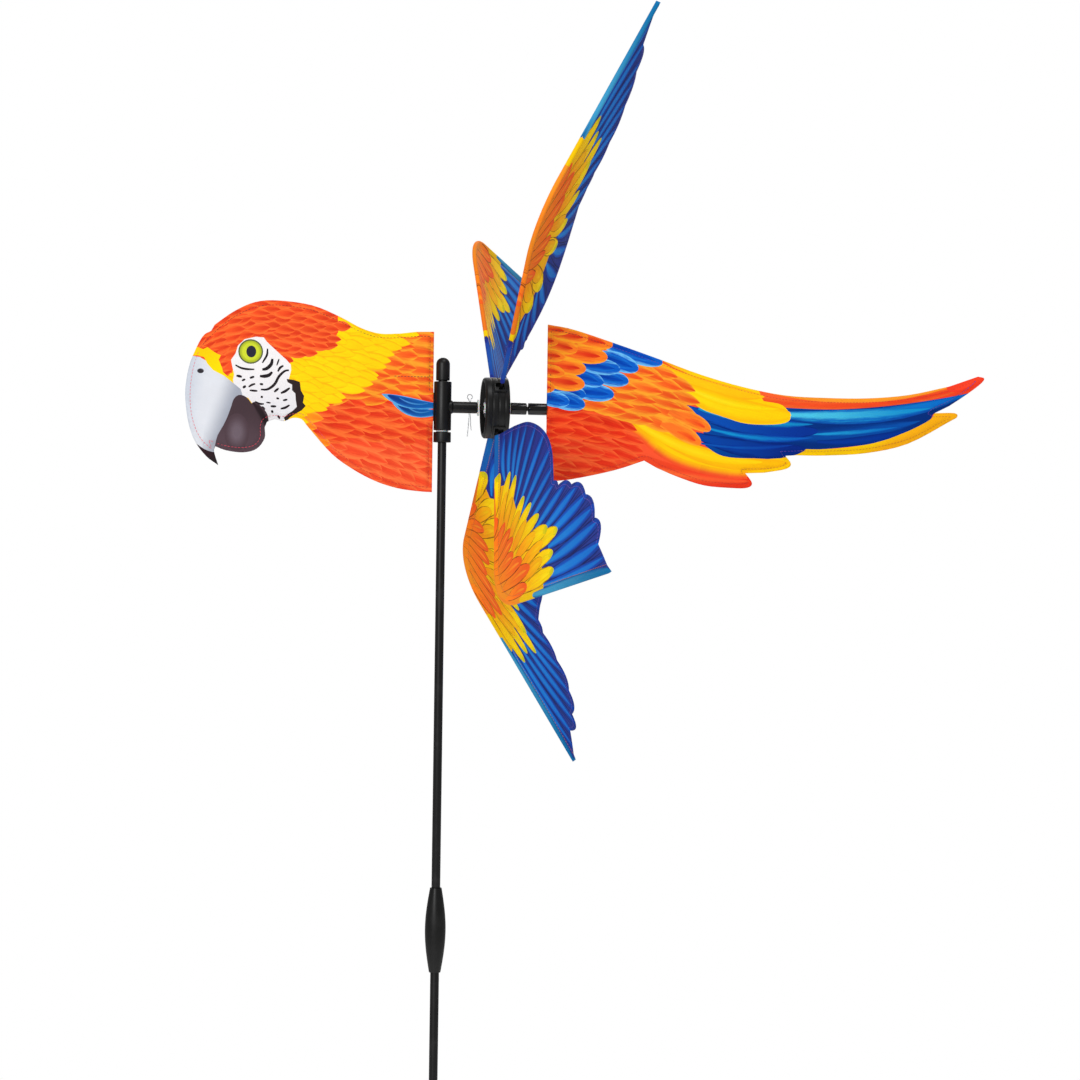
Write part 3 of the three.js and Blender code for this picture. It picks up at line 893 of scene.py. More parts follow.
def build_tee():
    low, high = TEE_ENDS
    tongue_start, branch_end = span("tee_fitting", 0)
    flare = [(0, 0), (FLARE_RADIUS, 0), (FLARE_RADIUS, 8.2), (BRANCH_RADIUS - 0.2, 9.8), (0, 9.8)]
    joined = [
        cylinder(TEE_RADIUS, low, high, 0.6),
        cylinder(BRANCH_RADIUS, 0, branch_end, 1.2, ALONG_AXLE),
        lathe(rounded(flare, 0.8), ALONG_AXLE),
        box((tongue_start, -6), (-2, 2), (-13, 13), 0.6),
    ]
    holes = [
        cylinder(POLE_RADIUS + CLEARANCE, low - 1, high + 1),
        cylinder(AXLE_RADIUS + CLEARANCE, SOCKET_START, 40, turn=ALONG_AXLE),
        pin_hole(),
    ]
    add_solid("tee", carve(joined, holes), "vane", "black_plastic", "tee_fitting")


def build_axle():
    rod = cylinder(AXLE_RADIUS, *span("axle_rod", 0), 0.4, ALONG_AXLE, 36)
    add_solid("axle", carve([rod], [pin_hole()]), "vane", "black_rod", "axle_rod")


def build_cotter():
    """A split pin: a round eye above the branch and two legs that spread below it."""
    points = [(-1.9, -26.5), (-0.6, -8), (-0.55, 5.6), (-2.3, 9.0), (-1.75, 11.2), (0, 12), (1.75, 11.2),
              (2.3, 9.0), (0.55, 5.6), (0.6, -8), (1.5, -21)]
    path = [(PIN_X + x, 0, z) for x, z in curve(points, 6)]
    add_solid("split_pin", tube(path, 0.35, 10), "vane", "steel_wire", "cotter_pin")


# ---- Head and tail panels ----

HEAD_EDGE = span("head_cloth_left", 0)[1]
TAIL_EDGE = span("tail_cloth_left", 0)[0]
SHEET = 0.35            # thickness of one cloth
BOARD_HALF = 2.0        # half the thickness of the board between two cloths
PARTING = (2.6, 3.3)    # how far in from the edge the cloths begin to part, and over what distance
PUCKER = (3.6, 1.6)     # how far in the seam puckers the cloth, and how widely

HEAD_OUTLINE = (
    [(HEAD_EDGE, 68.5), (-25, 68)]
    + curve([(-40, 66), (-58, 65.5), (-75, 70), (-95, 80), (-120, 89.5), (-150, 93), (-171, 91),
             (-190, 82), (-207, 69.5)])
    + curve([(-210, 64), (-218, 58), (-228, 36), (-232, 15), (-232, 0), (-229, -20), (-223, -36),
             (-213, -49), (-202, -57)])
    + curve([(-204.5, -50), (-206, -44), (-205, -40)])[:-1]
    + curve([(-205, -40), (-195, -43.5), (-180, -45), (-168, -41.5), (-161, -32), (-161, -22)])
    + curve([(-159, -17), (-152, -14.5), (-144, -16), (-136, -13), (-128, -14), (-121, -22), (-100, -45),
             (-80, -59), (-60, -69), (-40, -75), (-20, -77.5), (HEAD_EDGE, -78)])
)

TAIL_OUTLINE = (
    curve([(TAIL_EDGE, -66.5), (120, -64), (160, -55), (188, -45.5)])
    + curve([(200, -52), (220, -60), (245, -67.5), (272, -69.5), (286, -69), (290.5, -64.5), (284, -55.5)])
    + curve([(302, -54.7), (322, -51), (327.5, -46), (322, -38.5)])
    + curve([(332, -37.8), (360, -37.5), (400, -34.5), (440, -25), (480, -3.5), (488, 1.5), (485, 5),
             (466, 4.5)])
    + curve([(480, 11.5), (498, 23.5), (511, 33.5), (514, 38.5), (508, 40)])
    + curve([(480, 30), (440, 21), (400, 17), (360, 16.5), (320, 18), (280, 25), (240, 35.5), (200, 49),
             (160, 62), (120, 74), (TAIL_EDGE, 78)])
)


def panel_gap(points, outline, mouth_x, mouth_half):
    """Half the space between a panel's two cloths: shut at the seam, as wide as the board inside it."""
    distance, place = edge_distance(points, outline)
    rise = np.clip((distance - PARTING[0]) / PARTING[1], 0, 1)
    gap = 0.06 + (BOARD_HALF + 0.1) * rise * rise * (3 - 2 * rise)
    along = np.clip(1 - (np.abs(points[:, 1]) - mouth_half) / 7, 0, 1)
    deep = np.clip(1 - (np.abs(points[:, 0] - mouth_x) - 8) / 6, 0, 1)
    mouth = along * deep
    gap = np.maximum(gap, (BOARD_HALF + 0.12) * mouth)
    pucker = np.exp(-((distance - PUCKER[0]) / PUCKER[1]) ** 2) * (1 - mouth)
    return gap + pucker * 0.1 * (1 + np.sin(place * 2 * math.pi / 6.1) * np.sin(place / 9.7))


def panel_side(side, outline, mouth_x, mouth_half):
    """The outer and inner surfaces of one cloth of a panel. Side is -1 for left and 1 for right."""
    def surface(points, depth):
        gap = panel_gap(points, outline, mouth_x, mouth_half) + depth
        slack = 0.12 * np.sin(points[:, 0] / 23 + side) * np.sin(points[:, 1] / 17 + 2 * side)
        slack = slack * np.clip((edge_distance(points, outline)[0] - 9) / 10, 0, 1)
        y = side * (gap + slack + 0.12 * (slack != 0))
        return np.stack((points[:, 0], y, points[:, 1]), 1) * MM + np.array(AXLE)

    return [lambda points, depth=depth: surface(points, depth) for depth in (SHEET, 0.0)]


def build_panel(name, cut, mouth_x, mouth_half):
    """Both printed cloths of the head or the tail, sewn together round a board."""
    sheets = []
    for word, side in (("left", -1), ("right", 1)):
        outer, inner = panel_side(side, cut.outline, mouth_x, mouth_half)
        above, below = (outer, inner) if side < 0 else (inner, outer)
        mesh = cloth_mesh(f"{name}_print_{word}", cut, above, below)
        piece = add_piece(f"{name}_print_{word}", mesh, [LOOKS["body_cloth"]], "vane",
                          [f"{name}_cloth_{word}"])
        signed_area(cut.outline) * MM**2
        sheets.append(outer)
    return sheets


# ---- Head print ----


def head_heading(x, z):
    return -8 - 16 * min(1, max(0, -z / 60))


def head_colours(x, z):
    """Orange feathers above the axle's height, deep red ones below it."""
    if x < -96 and z < -6:
        return inks("ffb418 fc801e ffa628")
    if z > 3:
        return inks("fa7024 f2521e ffa42c")
    if z > -36:
        return inks("de321a e83e1e fc7232")
    return inks("ea4224 f34e2a fe763e")


NECK_STEPS = 7
NECK_TIPS = [(-26, 64), (-36, 52), (-50, 40), (-57, 27), (-65, 18), (-84, 7), (-101, -1), (-116, -7),
             (-124, -17)]


def neck_band(rng):
    """Yellow feathers in steps, each step lying on the one behind it."""
    colours = inks("ffd80e ffd20c fcb20e")
    count = 2 * len(NECK_TIPS) - 1
    shapes = []
    for step in range(NECK_STEPS):
        for index in range(count - step % 2):
            tip = between(NECK_TIPS, (index + 0.5 * (step % 2)) / (count - 1))
            tip = tip + np.array((-15 * step + rng.uniform(-5, 4), 2.2 * step + rng.uniform(-1.5, 1.5)))
            base = tip + np.array((-33, rng.uniform(4, 9)))
            shapes.append(Feather(base, tip, 5.4, colours, point=0.85, edge=0.6))
    return shapes


CROWN_TOP = [(-206, 76), (-185, 92), (-150, 98), (-118, 94)]
CROWN = [(-85, 92), (-83, 66), (-87, 56), (-96, 48), (-110, 43), (-127, 37), (-140, 36), (-160, 45),
         (-186, 44), (-189, 22), (-192, 17), (-199, 25), (-202, 37), (-210, 44.5), (-228, 46), (-222, 60),
         *CROWN_TOP]
CROWN_GROUND = [(-97, 94), (-96, 66), (-100, 58), (-108, 51), (-120, 47), (-134, 42), (-150, 46),
                (-186, 46), (-191, 26), (-196, 27), (-201, 42), (-210, 49), (-228, 50), (-222, 62),
                *CROWN_TOP]


def crown_heading(x, z):
    return -7 + 40 * max(0, (-145 - x) / 70)


def crown(rng):
    """The red cap: small flat-lying scales over a scarlet ground."""
    colours = inks("f35424 de3a1c ff7030")
    ground = Patch(CROWN_GROUND, SCARLET, ink("f64e22"), ((-230, 0), (-95, 0)))
    return [ground] + shingles(CROWN, crown_heading, 11, 7.2, 21, 4.6, lambda x, z: colours, rng,
                               edge=0.15, point=0.9)


FACE = [(-170, 59.5), (-163, 59), (-160, 55), (-150, 46), (-142, 39), (-138.5, 35), (-138, 30), (-140, 22),
        (-136, 17), (-134, 14), (-132, 8), (-131, 3), (-130, -2), (-134, -6), (-140, -10), (-146, -19),
        (-160, -19), (-163, -9), (-170, -5), (-173, 0), (-176, 4), (-182, 6.5), (-187, 5), (-190, 20),
        (-189, 25), (-191, 33), (-192, 38), (-188, 44), (-186, 51), (-180, 57)]

FACE_STROKES = [
    ([(-159.5, 49), (-160, 43), (-164, 36)], 1.6),
    ([(-155, 40), (-156, 35), (-160, 31), (-164, 30)], 2.6),
    ([(-149, 40), (-151, 34)], 1.2),
    ([(-145, 34), (-148, 32), (-150, 28.5)], 1.8),
    ([(-140, 30), (-144, 29), (-149, 24), (-152, 18), (-156, 14), (-160, 12), (-165, 12)], 2.0),
    ([(-155, 28), (-158, 25), (-162, 24), (-166, 24)], 2.6),
    ([(-188, 33.5), (-183, 31), (-177, 30), (-171, 30)], 1.6),
    ([(-187, 24), (-182, 23)], 2.0),
    ([(-182, 19.5), (-179, 21)], 1.6),
    ([(-175, 22), (-171, 23.5)], 1.8),
    ([(-181, 13), (-178.5, 15)], 2.0),
    ([(-176, 14), (-173, 16), (-170, 17)], 1.6),
    ([(-166, 17), (-163, 16.5)], 1.8),
    ([(-175, 11), (-168, 10.5)], 1.6),
    ([(-153, 10), (-149, 13.5)], 1.8),
    ([(-147, 9), (-143, 11), (-139, 14)], 2.0),
    ([(-165, 5.5), (-163, 5)], 1.8),
    ([(-151, 4.5), (-148.5, 4)], 1.6),
    ([(-145, 2.5), (-141, 3.5)], 1.6),
    ([(-170, 1), (-166, -1), (-162, -1)], 1.6),
    ([(-160, 0.5), (-156, 0)], 1.2),
    ([(-156, -3), (-151, -3)], 1.8),
    ([(-147, -5), (-143, -4), (-139, -1.5)], 1.8),
    ([(-164, -3.5), (-161, -6)], 1.8),
    ([(-155, -6.5), (-154, -9)], 1.8),
    ([(-149.5, -11), (-147.5, -14)], 1.6),
]


def face():
    """The bare white cheek with its lines of tiny dark feathers, and the dark border behind it."""
    shapes = [Patch(FACE, WHITE, ink("e2e0e4"), ((-150, 50), (-150, -15)))]
    shapes += [stroke(points, width, BLACK) for points, width in FACE_STROKES]
    shapes.append(Patch([
        (-142, 22), (-136, 21.5), (-130, 19.5), (-129, 12), (-126, 7), (-127, 1), (-124.5, -2), (-128, -6),
        (-134, -9.5), (-139, -13), (-142, -17), (-144, -13), (-141, -10), (-136, -6.5), (-132.5, -3),
        (-133.5, 3), (-134, 9), (-137, 12), (-137, 17), (-141, 19)], ink("322626")))
    return shapes


def eye():
    shapes = [Disc((-174.5, 46), (11.1, 11.1), IRIS_RIM, IRIS_RIM)]
    shapes += soft_disc((-174.5, 46), (9.9, 9.9), IRIS, IRIS_EDGE, 0.7)
    shapes.append(Disc((-174, 46), (4.4, 5.3), *inks("2c2a3a 2c2a3a")))
    return shapes


def beak():
    """Upper beak, cere, nostril, the dark lower beak and the hooked tip."""
    rim = [(-244, 41), (-226, 41), (-220, 40), (-213, 36), (-209, 30), (-216, -44), (-226, -52), (-244, -20)]
    cheek = [(-210, 31), (-200, 25), (-192, 19), (-183, 12), (-180, 2), (-185, -6), (-188, -15), (-193, -25),
             (-198, -33), (-203, -36), (-205, -40), (-204, -46), (-217, -46)]
    shapes = [
        Patch(rim, *inks("ced4df e0e3ea"), ((-234, 6), (-214, 3))),
        Patch(cheek, *inks("e0e3ea a4a9b6"), ((-212, 0), (-190, -8))),
    ]
    shapes.append(Patch(curve([(-228, -33), (-221, -38.5), (-213, -43.5), (-205.5, -45.5)])
                        + [(-198, -62), (-232, -62)], TIP_BLACK, BLACK, ((-214, -40), (-204, -58))))
    lower = curve([(-205, -38), (-203, -30), (-198, -21), (-194, -12), (-191, -3), (-189, 3), (-185, 6.5),
                   (-180, 6), (-176, 3), (-173, -1), (-170, -5), (-163, -9), (-159.5, -13), (-158, -20)], 2)
    shapes.append(Patch(lower + [(-154, -34), (-166, -52), (-196, -50), (-206, -42)], DARK_BEAK,
                        ink("58464e"), ((-180, 0), (-184, -44))))
    shapes += feathers([((-172, 0), (-159, -21), 4.5, inks("2e2226 262024 48383e"), 1.5, 0.6, 0.2)])
    shapes += soft_disc((-186, -27), (11, 17), *inks("70626c 4f3e45"), 0.0)
    cere = [(-232, 41), (-229, 50), (-224, 50), (-217, 47), (-213, 49), (-209, 46), (-204, 43), (-201, 42),
            (-203, 38), (-200, 31), (-199, 27), (-192, 20.5), (-200, 24.5), (-208, 28.5), (-213, 34),
            (-216, 40), (-222, 41.5)]
    shapes.append(Patch(cere, *inks("ffcd08 ffde06"), ((-225, 45), (-196, 24))))
    shapes.append(Disc((-219, 27.5), (3.0, 2.2), NOSTRIL, ink("5a5860"), 0.7))
    return shapes


def flourish():
    """Two blue feathers at the shoulder, swept forward from the panel's back edge."""
    shapes = []
    for base, tip, bend in (((-3, -5.5), (-46, 2.5), 3.5), ((-3, 1), (-56, 10.5), 3.0)):
        shapes += feathers([
            (base, tip, 5.0, inks("2278be 5ca8de 54aae2"), bend, 0.9, 0.72),
            (part_way(base, tip, 0.08), part_way(base, tip, 0.9), 4.1, inks("0e5ca8 103482 1a5cb0"),
             bend * 0.95, 0.6, 0.3),
            (part_way(base, tip, 0.2), part_way(base, tip, 0.7), 1.0, inks("3c8ccc 5096d6 1854a0"),
             bend, 0.6, 0.0),
        ])
    return shapes


HEAD_BODY = [(-140, -40), (-125, 5), (-80, 30), (-62, 72), (4, 75), (8, -84), (-60, -84)]


def head_print():
    rng = random.Random(11)
    ground = (ORANGE_HEART, RED_EDGE, ((0, 60), (0, -70)))
    body = shingles(HEAD_BODY, head_heading, 15, 9.5, 34, 6.6, head_colours, rng, edge=0.12, point=0.9)
    return [ground] + body + flourish() + neck_band(rng) + crown(rng) + face() + eye() + beak()


# ---- Tail print ----


LONG_BLUE_TOP = [(360, 5.5), (400, 8), (440, 13), (480, 20)]
LONG_BLUE_FOOT = [(360, -31.5), (400, -26.5), (420, -20.5), (440, -13), (460, -2.5), (466, 4.5)]


def tail_lobe():
    """The lower red lobe, and the yellow feathers between it and the blue ones."""
    shapes = [Patch([(150, -30), (200, -44), (240, -56), (284, -58), (300, -60), (296, -76), (180, -76),
                     (140, -62)], *inks("f44c28 eb381e"), ((150, 0), (290, 0)))]
    shapes += feathers([((150, -38), (288, -63), 4.5, inks("ff7a3a fa562c f04224"), -7, 0.6, 0.0)])
    lower = curve([(150, 3), (182, -17), (196, -30), (215, -42), (240, -50.5), (270, -55.5), (290, -56)])
    upper = curve([(322, -38.5), (290, -41), (262, -40), (240, -33), (215, -20), (190, -8), (168, 3)])
    shapes.append(Patch(lower + [(330, -60), (336, -36), (322, -38.5)] + upper, YELLOW_SHADE, YELLOW_DEEP,
                        ((170, 0), (215, -40))))
    shapes += feathers([
        ((180, -8), (326, -45), 7.5, inks("ffc808 fcba06 fab20a"), -15, 0.6, 0.2),
        ((168, -2), (300, -45), 4.5, inks("ffd818 ffd00e ffc808"), -12, 0.6, 0.0),
    ])
    border = curve([(160, -10), (182, -20), (196, -32.5), (215, -44), (240, -52), (268, -56.5), (286, -57)])
    return shapes + blended(border, 8, *inks("f55228 ffb80c"))


def tail_bands():
    """The long tail's lower yellow edge, and the orange and red bands along its top."""
    shapes = [
        Patch(curve([(325, -30)] + LONG_BLUE_FOOT)
              + [(492, 10), (496, -4), (440, -34), (360, -46), (320, -44)],
              *inks("feca06 fcb012"), ((400, -26), (407, -38))),
        Patch(curve([(280, 12), (320, 6)] + LONG_BLUE_TOP + [(498, 23.5)])
              + [(524, 36), (520, 50), (480, 42), (400, 26), (320, 30), (280, 30)],
              *inks("f7602c f3421e"), ((290, 0), (400, 0))),
    ]
    return shapes + feathers([
        ((285, 15), (505, 33), 5.5, inks("f65022 ec3c1c f46428"), -13.5, 0.9, 0.0),
        ((300, 22), (503, 38), 3.6, inks("f79626 faa028 f68c28"), -13.5, 0.9, 0.3),
        ((478, 27), (514, 40.5), 7.0, inks("f84024 fc462a f63a22"), -1, 0.7, 0.3),
    ])


def tail_blues():
    """The long blue feathers, with two shorter ones lying on them."""
    upper = curve([(312, 6.5)] + LONG_BLUE_TOP + [(500, 24.5)])
    lower = curve([(484, 12)] + LONG_BLUE_FOOT[::-1] + [(338, -32)])
    front = curve([(322, -39), (290, -41.5), (262, -40), (245, -31)])
    ground = Patch([(250, -2)] + upper + lower + front + [(243, -18), (241, -2)], BLUE_DEEP, NAVY,
                   ((300, 10), (330, -40)))
    return [ground] + feathers([
        ((300, 2), (500, 24), 6.8, inks("1e9cd6 0468c4 0446a0"), -13, 0.9, 0.35, 0.35),
        ((305, 0.5), (462, 9), 5.2, inks("4cc8e8 1092d2 0666be"), -4, 0.9, 0.3),
        ((300, -20), (452, -3), 8, inks("02469e 044ea8 003080"), -6, 0.9, 0.2),
        ((346, -18), (430, -9.5), 3.0, inks("1a96d0 0668bc 023e96"), -1.5, 0.9, 0.0),
        ((352, -25), (440, -12), 4, inks("023696 00308e 002a80"), -4, 0.9, 0.0),
        ((236, -21), (341, -32), 8.6, inks("0442a2 042884 002476"), -6, 0.55, 0.5),
        ((238, -28), (330, -28), 2.2, inks("0a54b0 063c9c 023292"), -4, 0.9, 0.0),
        ((226, 4), (353, -15), 8.6, inks("064eb2 033294 00267a"), -6.5, 0.5, 0.6),
        ((246, -14), (348, -21), 3.4, inks("1092d2 085cb8 043a9c"), -5, 0.9, 0.0),
        ((238, 3.5), (348, -8.5), 4.4, inks("149ece 0e88c8 0542a4"), -4.6, 0.9, 0.1),
    ])


def tail_yellows():
    """The yellow feathers over the blue ones."""
    upper = curve([(196, 49), (215, 40), (240, 30), (265, 22), (296, 18.5)])
    lower = curve([(300, 12), (318, 8.5), (326, -3), (316, -9), (285, -9.5), (262, -3.5), (240, 4),
                   (222, 18)])
    top = [(196, 52), (215, 41), (250, 28), (280, 20.5), (298, 17.5), (296, 21), (296, 26), (240, 42),
           (200, 56)]
    shapes = [
        Patch([(196, 54)] + upper + lower + [(205, 32), (194, 44)], *inks("ffb80e ffca04"),
              ((215, 30), (250, 20))),
        Patch(top, *inks("fca616 ffce0c"), ((200, 46), (238, 34))),
    ]
    return shapes + feathers([
        ((196, 44), (301, 16), 6.5, inks("ffc410 ffbe0a fcac0e"), -6, 0.6, 0.4),
        ((208, 31), (326.5, -1), 10.5, inks("ffd80e ffcc04 feb606"), -9, 0.42, 0.35),
        ((214, 30), (316, 5), 3.8, inks("ffe41e ffde08 ffce04"), -7.5, 0.9, 0.0),
    ])


TAIL_LOW = [(88, 4), (130, 2), (158, 4), (180, -12), (200, -34), (186, -50), (150, -64), (88, -74)]
TAIL_MIDDLE = [(125, 12), (176, 42), (204, 44), (232, 30), (240, 12), (252, -14), (243, -30), (226, -24),
               (205, -14), (182, -6), (150, 2)]


def tail_body(rng):
    """Red feathers below and orange ones in the middle, which end in two large tips."""
    deep = inks("da2610 e63016 fa5c28")
    warm = inks("e62e16 f03a1e fc6430")
    glow = inks("fb7826 f0501c ffa62c")
    shapes = shingles(TAIL_LOW, lambda x, z: -7 - 12 * max(0, (x - 120) / 80), 16, 9, 36, 6.0,
                      lambda x, z: deep if z > -30 else warm, rng, edge=0.12, point=0.9)
    shapes += shingles(TAIL_MIDDLE, lambda x, z: -13 - 8 * (x > 205), 17, 9.5, 42, 6.2,
                       lambda x, z: glow, rng, edge=0.15, point=0.9)
    for base, tip in (((210, 0), (250, -16)), ((203, -11), (241, -29))):
        shapes += feathers([
            (base, tip, 7, inks("fa7426 fb7c22 ffa02e"), 1.5, 0.5, 0.5),
            (part_way(base, tip, 0.4), part_way(base, tip, 0.86), 4, inks("f66020 ec461a fb7c22"),
             0.8, 0.6, 0.1),
        ])
    return shapes


SHOULDER_BLUES = [
    ((146, 63), (204, 45), 9.5), ((140, 52), (181, 38.5), 8.5), ((136, 32), (172, 27), 7.5),
    ((125, 42), (164, 38), 7.5), ((120, 17), (158.5, 14.5), 8), ((110, 35), (148.5, 25), 8),
    ((100, 20), (132, 13), 7), ((92, 12), (131.5, 4), 8.5), ((84, 12), (117, 6.5), 7.5),
]
SCALLOPS = [
    ((112, 70), (157, 60.5), 8), ((104, 55), (152, 48.5), 8.5), ((98, 70), (134, 66), 6.5),
    ((92, 62), (124, 55), 7), ((92, 42), (132, 37.5), 8), ((88, 29), (131, 23), 8.5),
    ((86, 75), (116, 72), 5), ((84, 52), (112, 48), 6), ((84, 38), (112, 33), 6), ((80, 24), (103, 19), 6),
    ((78, 66), (106, 62), 6),
]


def tail_shoulder():
    """Blue feathers with pale edges, the front ones on top, and orange scallops over them."""
    shapes = []
    for base, tip, half in SHOULDER_BLUES:
        shapes += feathers([
            (base, tip, half, inks("0252c4 0a60cc 70c4f8"), 0.5, 0.5, 0.56),
            (base, part_way(base, tip, 0.87), half * 0.58, inks("003ca8 0046b4 1470d4"), 0.5, 0.7, 0.1),
        ])
    for base, tip, half in SCALLOPS:
        shapes += feathers([
            (base, tip, half, inks("fa6822 fc7a22 ffa626"), 0.0, 0.5, 0.45),
            (part_way(base, tip, 0.2), part_way(base, tip, 0.86), half * 0.55, inks("f04a1e dc2c14 fb7422"),
             0.0, 0.9, 0.15),
        ])
    return shapes


def tail_print():
    ground = (ORANGE_HEART, RED_EDGE, ((0, 60), (0, -60)))
    shapes = [ground] + tail_lobe() + tail_bands() + tail_blues() + tail_yellows()
    return shapes + tail_body(random.Random(23)) + tail_shoulder()


# ---- Wing print ----

# Each feather's base, tip and half width.
FLIGHT_STRIPES = [
    ((86, -8), (44, 3), 5.5), ((104, 20), (52, 18), 5.5), ((112, 30), (57, 35), 6), ((122, 38), (69, 51), 6),
    ((132, 42), (80, 68), 6), ((150, 44), (98, 88), 6), ((160, 52), (119, 104), 6.2),
    ((172, 58), (143, 113), 6.2), ((184, 66), (166, 116), 6.2), ((194, 74), (187, 118), 6),
    ((208, 84), (204, 138), 6.2), ((220, 94), (222, 160), 6.4), ((230, 104), (241, 172), 6.6),
    ((242, 104), (260, 181), 6.8), ((254, 98), (278, 188), 6.8), ((264, 92), (300, 190), 7),
    ((270, 88), (317, 193), 5),
]

YELLOW_COVERTS = [
    ((250, 50), (270.5, 110.5), 7.8), ((236, 58), (253, 111.5), 7.6), ((220, 60), (238, 123), 8.2),
    ((208, 50), (224, 106), 8.4), ((198, 42), (199.5, 92), 7.8), ((194, 34), (174.5, 77), 8.2),
    ((190, 24), (155.5, 62.5), 9.2), ((166, 18), (118, 45), 9.2), ((148, 8), (102.5, 31), 9.0),
    ((134, -2), (84.5, 6), 9.2),
]
SHORT_COVERTS = [
    ((240, 50), (246, 92), 7), ((226, 46), (231, 96), 7), ((210, 40), (213, 84), 7.2),
    ((200, 34), (187, 68), 7.2), ((186, 24), (165, 54), 7.2), ((168, 16), (136, 37), 7.4),
    ((158, 6), (120, 24), 7),
]
COVERT_GROUND = [(100, -10), (100, 6), (112, 24), (134, 38), (152, 44), (170, 50), (190, 64), (212, 76),
                 (232, 88), (250, 90), (266, 90), (284, 92), (262, 40), (246, 14), (224, -6), (190, -12)]
ORANGE_GROUND = [(98, -12), (190, -12), (224, -6), (244, 12), (257, 34), (259, 48), (253, 54), (244, 50),
                 (230, 44), (212, 32), (196, 24), (178, 20), (160, 10), (146, 3), (98, 0.5)]
ORANGE_COVERTS = [
    ((238, 22), (252.5, 61), 7.2), ((222, 14), (237.5, 69), 8.2), ((208, 6), (220.5, 56), 8.0),
    ((196, 2), (203.5, 40), 7.6), ((188, 0), (185.5, 40), 7.6), ((180, -2), (170.5, 34), 7.6),
    ((172, -5), (153, 21), 7.6), ((164, -8), (133, 2), 7.6),
]


def flight_feathers():
    """Bright and dark stripes that fan back to the free edge, with a fine dark line beside each."""
    shapes = []
    for index, (base, tip, half) in enumerate(FLIGHT_STRIPES):
        base, tip = np.array(base, float), np.array(tip, float)
        along = (tip - base) / np.hypot(*(tip - base))
        aside = np.array((-along[1], along[0]))
        bend = 5 - 0.55 * index
        line = (INDIGO_DARK, INDIGO_DARK, INDIGO)
        shapes += feathers([
            (base, tip + 8 * along, half * 1.16, (*inks("1454be 1842a4"), INDIGO_DARK), bend, 0.4, 0.62, 0.3),
            (base, tip - 1 * along, half * 0.66, inks("1e84da 1270ce 0e58c4"), bend, 0.7, 0.45, 0.2),
            (base - 8 * aside, tip + 9 * along - 9 * aside, 0.8, line, bend, 0.4, 0.3),
        ])
    return shapes


def coverts(rows, colours, fleck):
    """Covert feathers with a dark outline and a lighter streak along the middle."""
    shapes = []
    for base, tip, half in rows:
        shapes += feathers([
            (base, tip, half, colours, 1.5, 0.5, 0.82, 0.1),
            (part_way(base, tip, 0.3), part_way(base, tip, 0.88), half * 0.32,
             (colours[0], fleck, colours[1]), 1.2, 0.8, 0.0),
        ])
    return shapes


def green_tip(base, tip, half):
    """The green end of a long yellow covert."""
    end = np.array(tip, float)
    run = (end - np.array(base)) / np.hypot(*(end - np.array(base)))
    return Feather(end - 9 * run, end - 0.5 * run, half * 0.42, inks("eed208 c4ca24 d6ce14"), 0.3, 0.6, 0.4)


def wing_print():
    """Blue flight feathers, then yellow coverts and orange ones over them, towards the rod."""
    shapes = [(ink("22308a"), INDIGO, ((40, 0), (200, 0)))] + flight_feathers()
    shapes += feathers([((92, 2), (30, 3), 6.5, inks("1860b4 1468b2 2242a0"), 0, 0.6, 0.2)])
    shapes.append(Patch(COVERT_GROUND, *inks("f8b008 f0c006"), ((120, 0), (240, 60))))
    shapes += feathers([((270, 74), (338, 205), 6.0, inks("409cc8 0e70a8 0a5c9e"), 0, 0.5, 0.4)])
    for row in YELLOW_COVERTS:
        shapes += coverts([row], inks("ffbc04 fcd804 704408"), ink("ffe214")) + [green_tip(*row)]
    shapes += coverts(SHORT_COVERTS, inks("fa960c fbb808 704408"), ink("ffcc10"))
    shapes.append(Patch(ORANGE_GROUND, *inks("f37c20 f79424"), ((150, 20), (245, 10))))
    shapes += coverts(ORANGE_COVERTS, inks("fc841c f6601e 5c1c0c"), ink("ff9a2a"))
    return shapes + feathers([((206, -3), (256, 40), 6, inks("f68422 f89222 f78622"), -9, 0.5, 0.2)])


# ---- Wings ----

ROD_RADIUS = 1.5
SLEEVE = 2.1            # radius of the cloth where it wraps the rod
SEAM = 5.5              # how far behind the rod the sleeve is sewn shut
CLOTH_HALF = 0.2        # half a wing cloth's thickness
WRIST = np.array((232.0, 0.0))
WING_TIP = np.array((335.0, 200.0))
WRIST_RADIUS = 70.0
HAND = (WING_TIP - WRIST) / np.hypot(*(WING_TIP - WRIST))
BEND = math.atan2(HAND[1], HAND[0])
ARM_END = WRIST[0] - WRIST_RADIUS * math.tan(BEND / 2)
ARC_CENTRE = np.array((ARM_END, WRIST_RADIUS))


def beside_rod(start, offset, shortened=0.0):
    """A line that runs beside the rod, set in from it by offset: arm, wrist, then hand."""
    turns = np.linspace(0, BEND, 16)
    radius = WRIST_RADIUS - offset
    arc = ARC_CENTRE + radius * np.stack((np.sin(turns), -np.cos(turns)), 1)
    inward = np.array((-HAND[1], HAND[0]))
    end = WING_TIP - HAND * shortened + inward * offset
    return resample([(start, offset), *map(tuple, arc), tuple(end)], 5.0)


def rod_offset(points):
    """How far each point lies behind the rod's line."""
    beyond = points - WRIST
    arm = points[:, 1]
    hand = HAND[0] * beyond[:, 1] - HAND[1] * beyond[:, 0]
    around = points - ARC_CENTRE
    turn = np.arctan2(around[:, 0], -around[:, 1])
    bent = (turn >= 0) & (turn <= BEND)
    return np.where(bent, WRIST_RADIUS - np.hypot(*around.T), np.minimum(arm, hand))


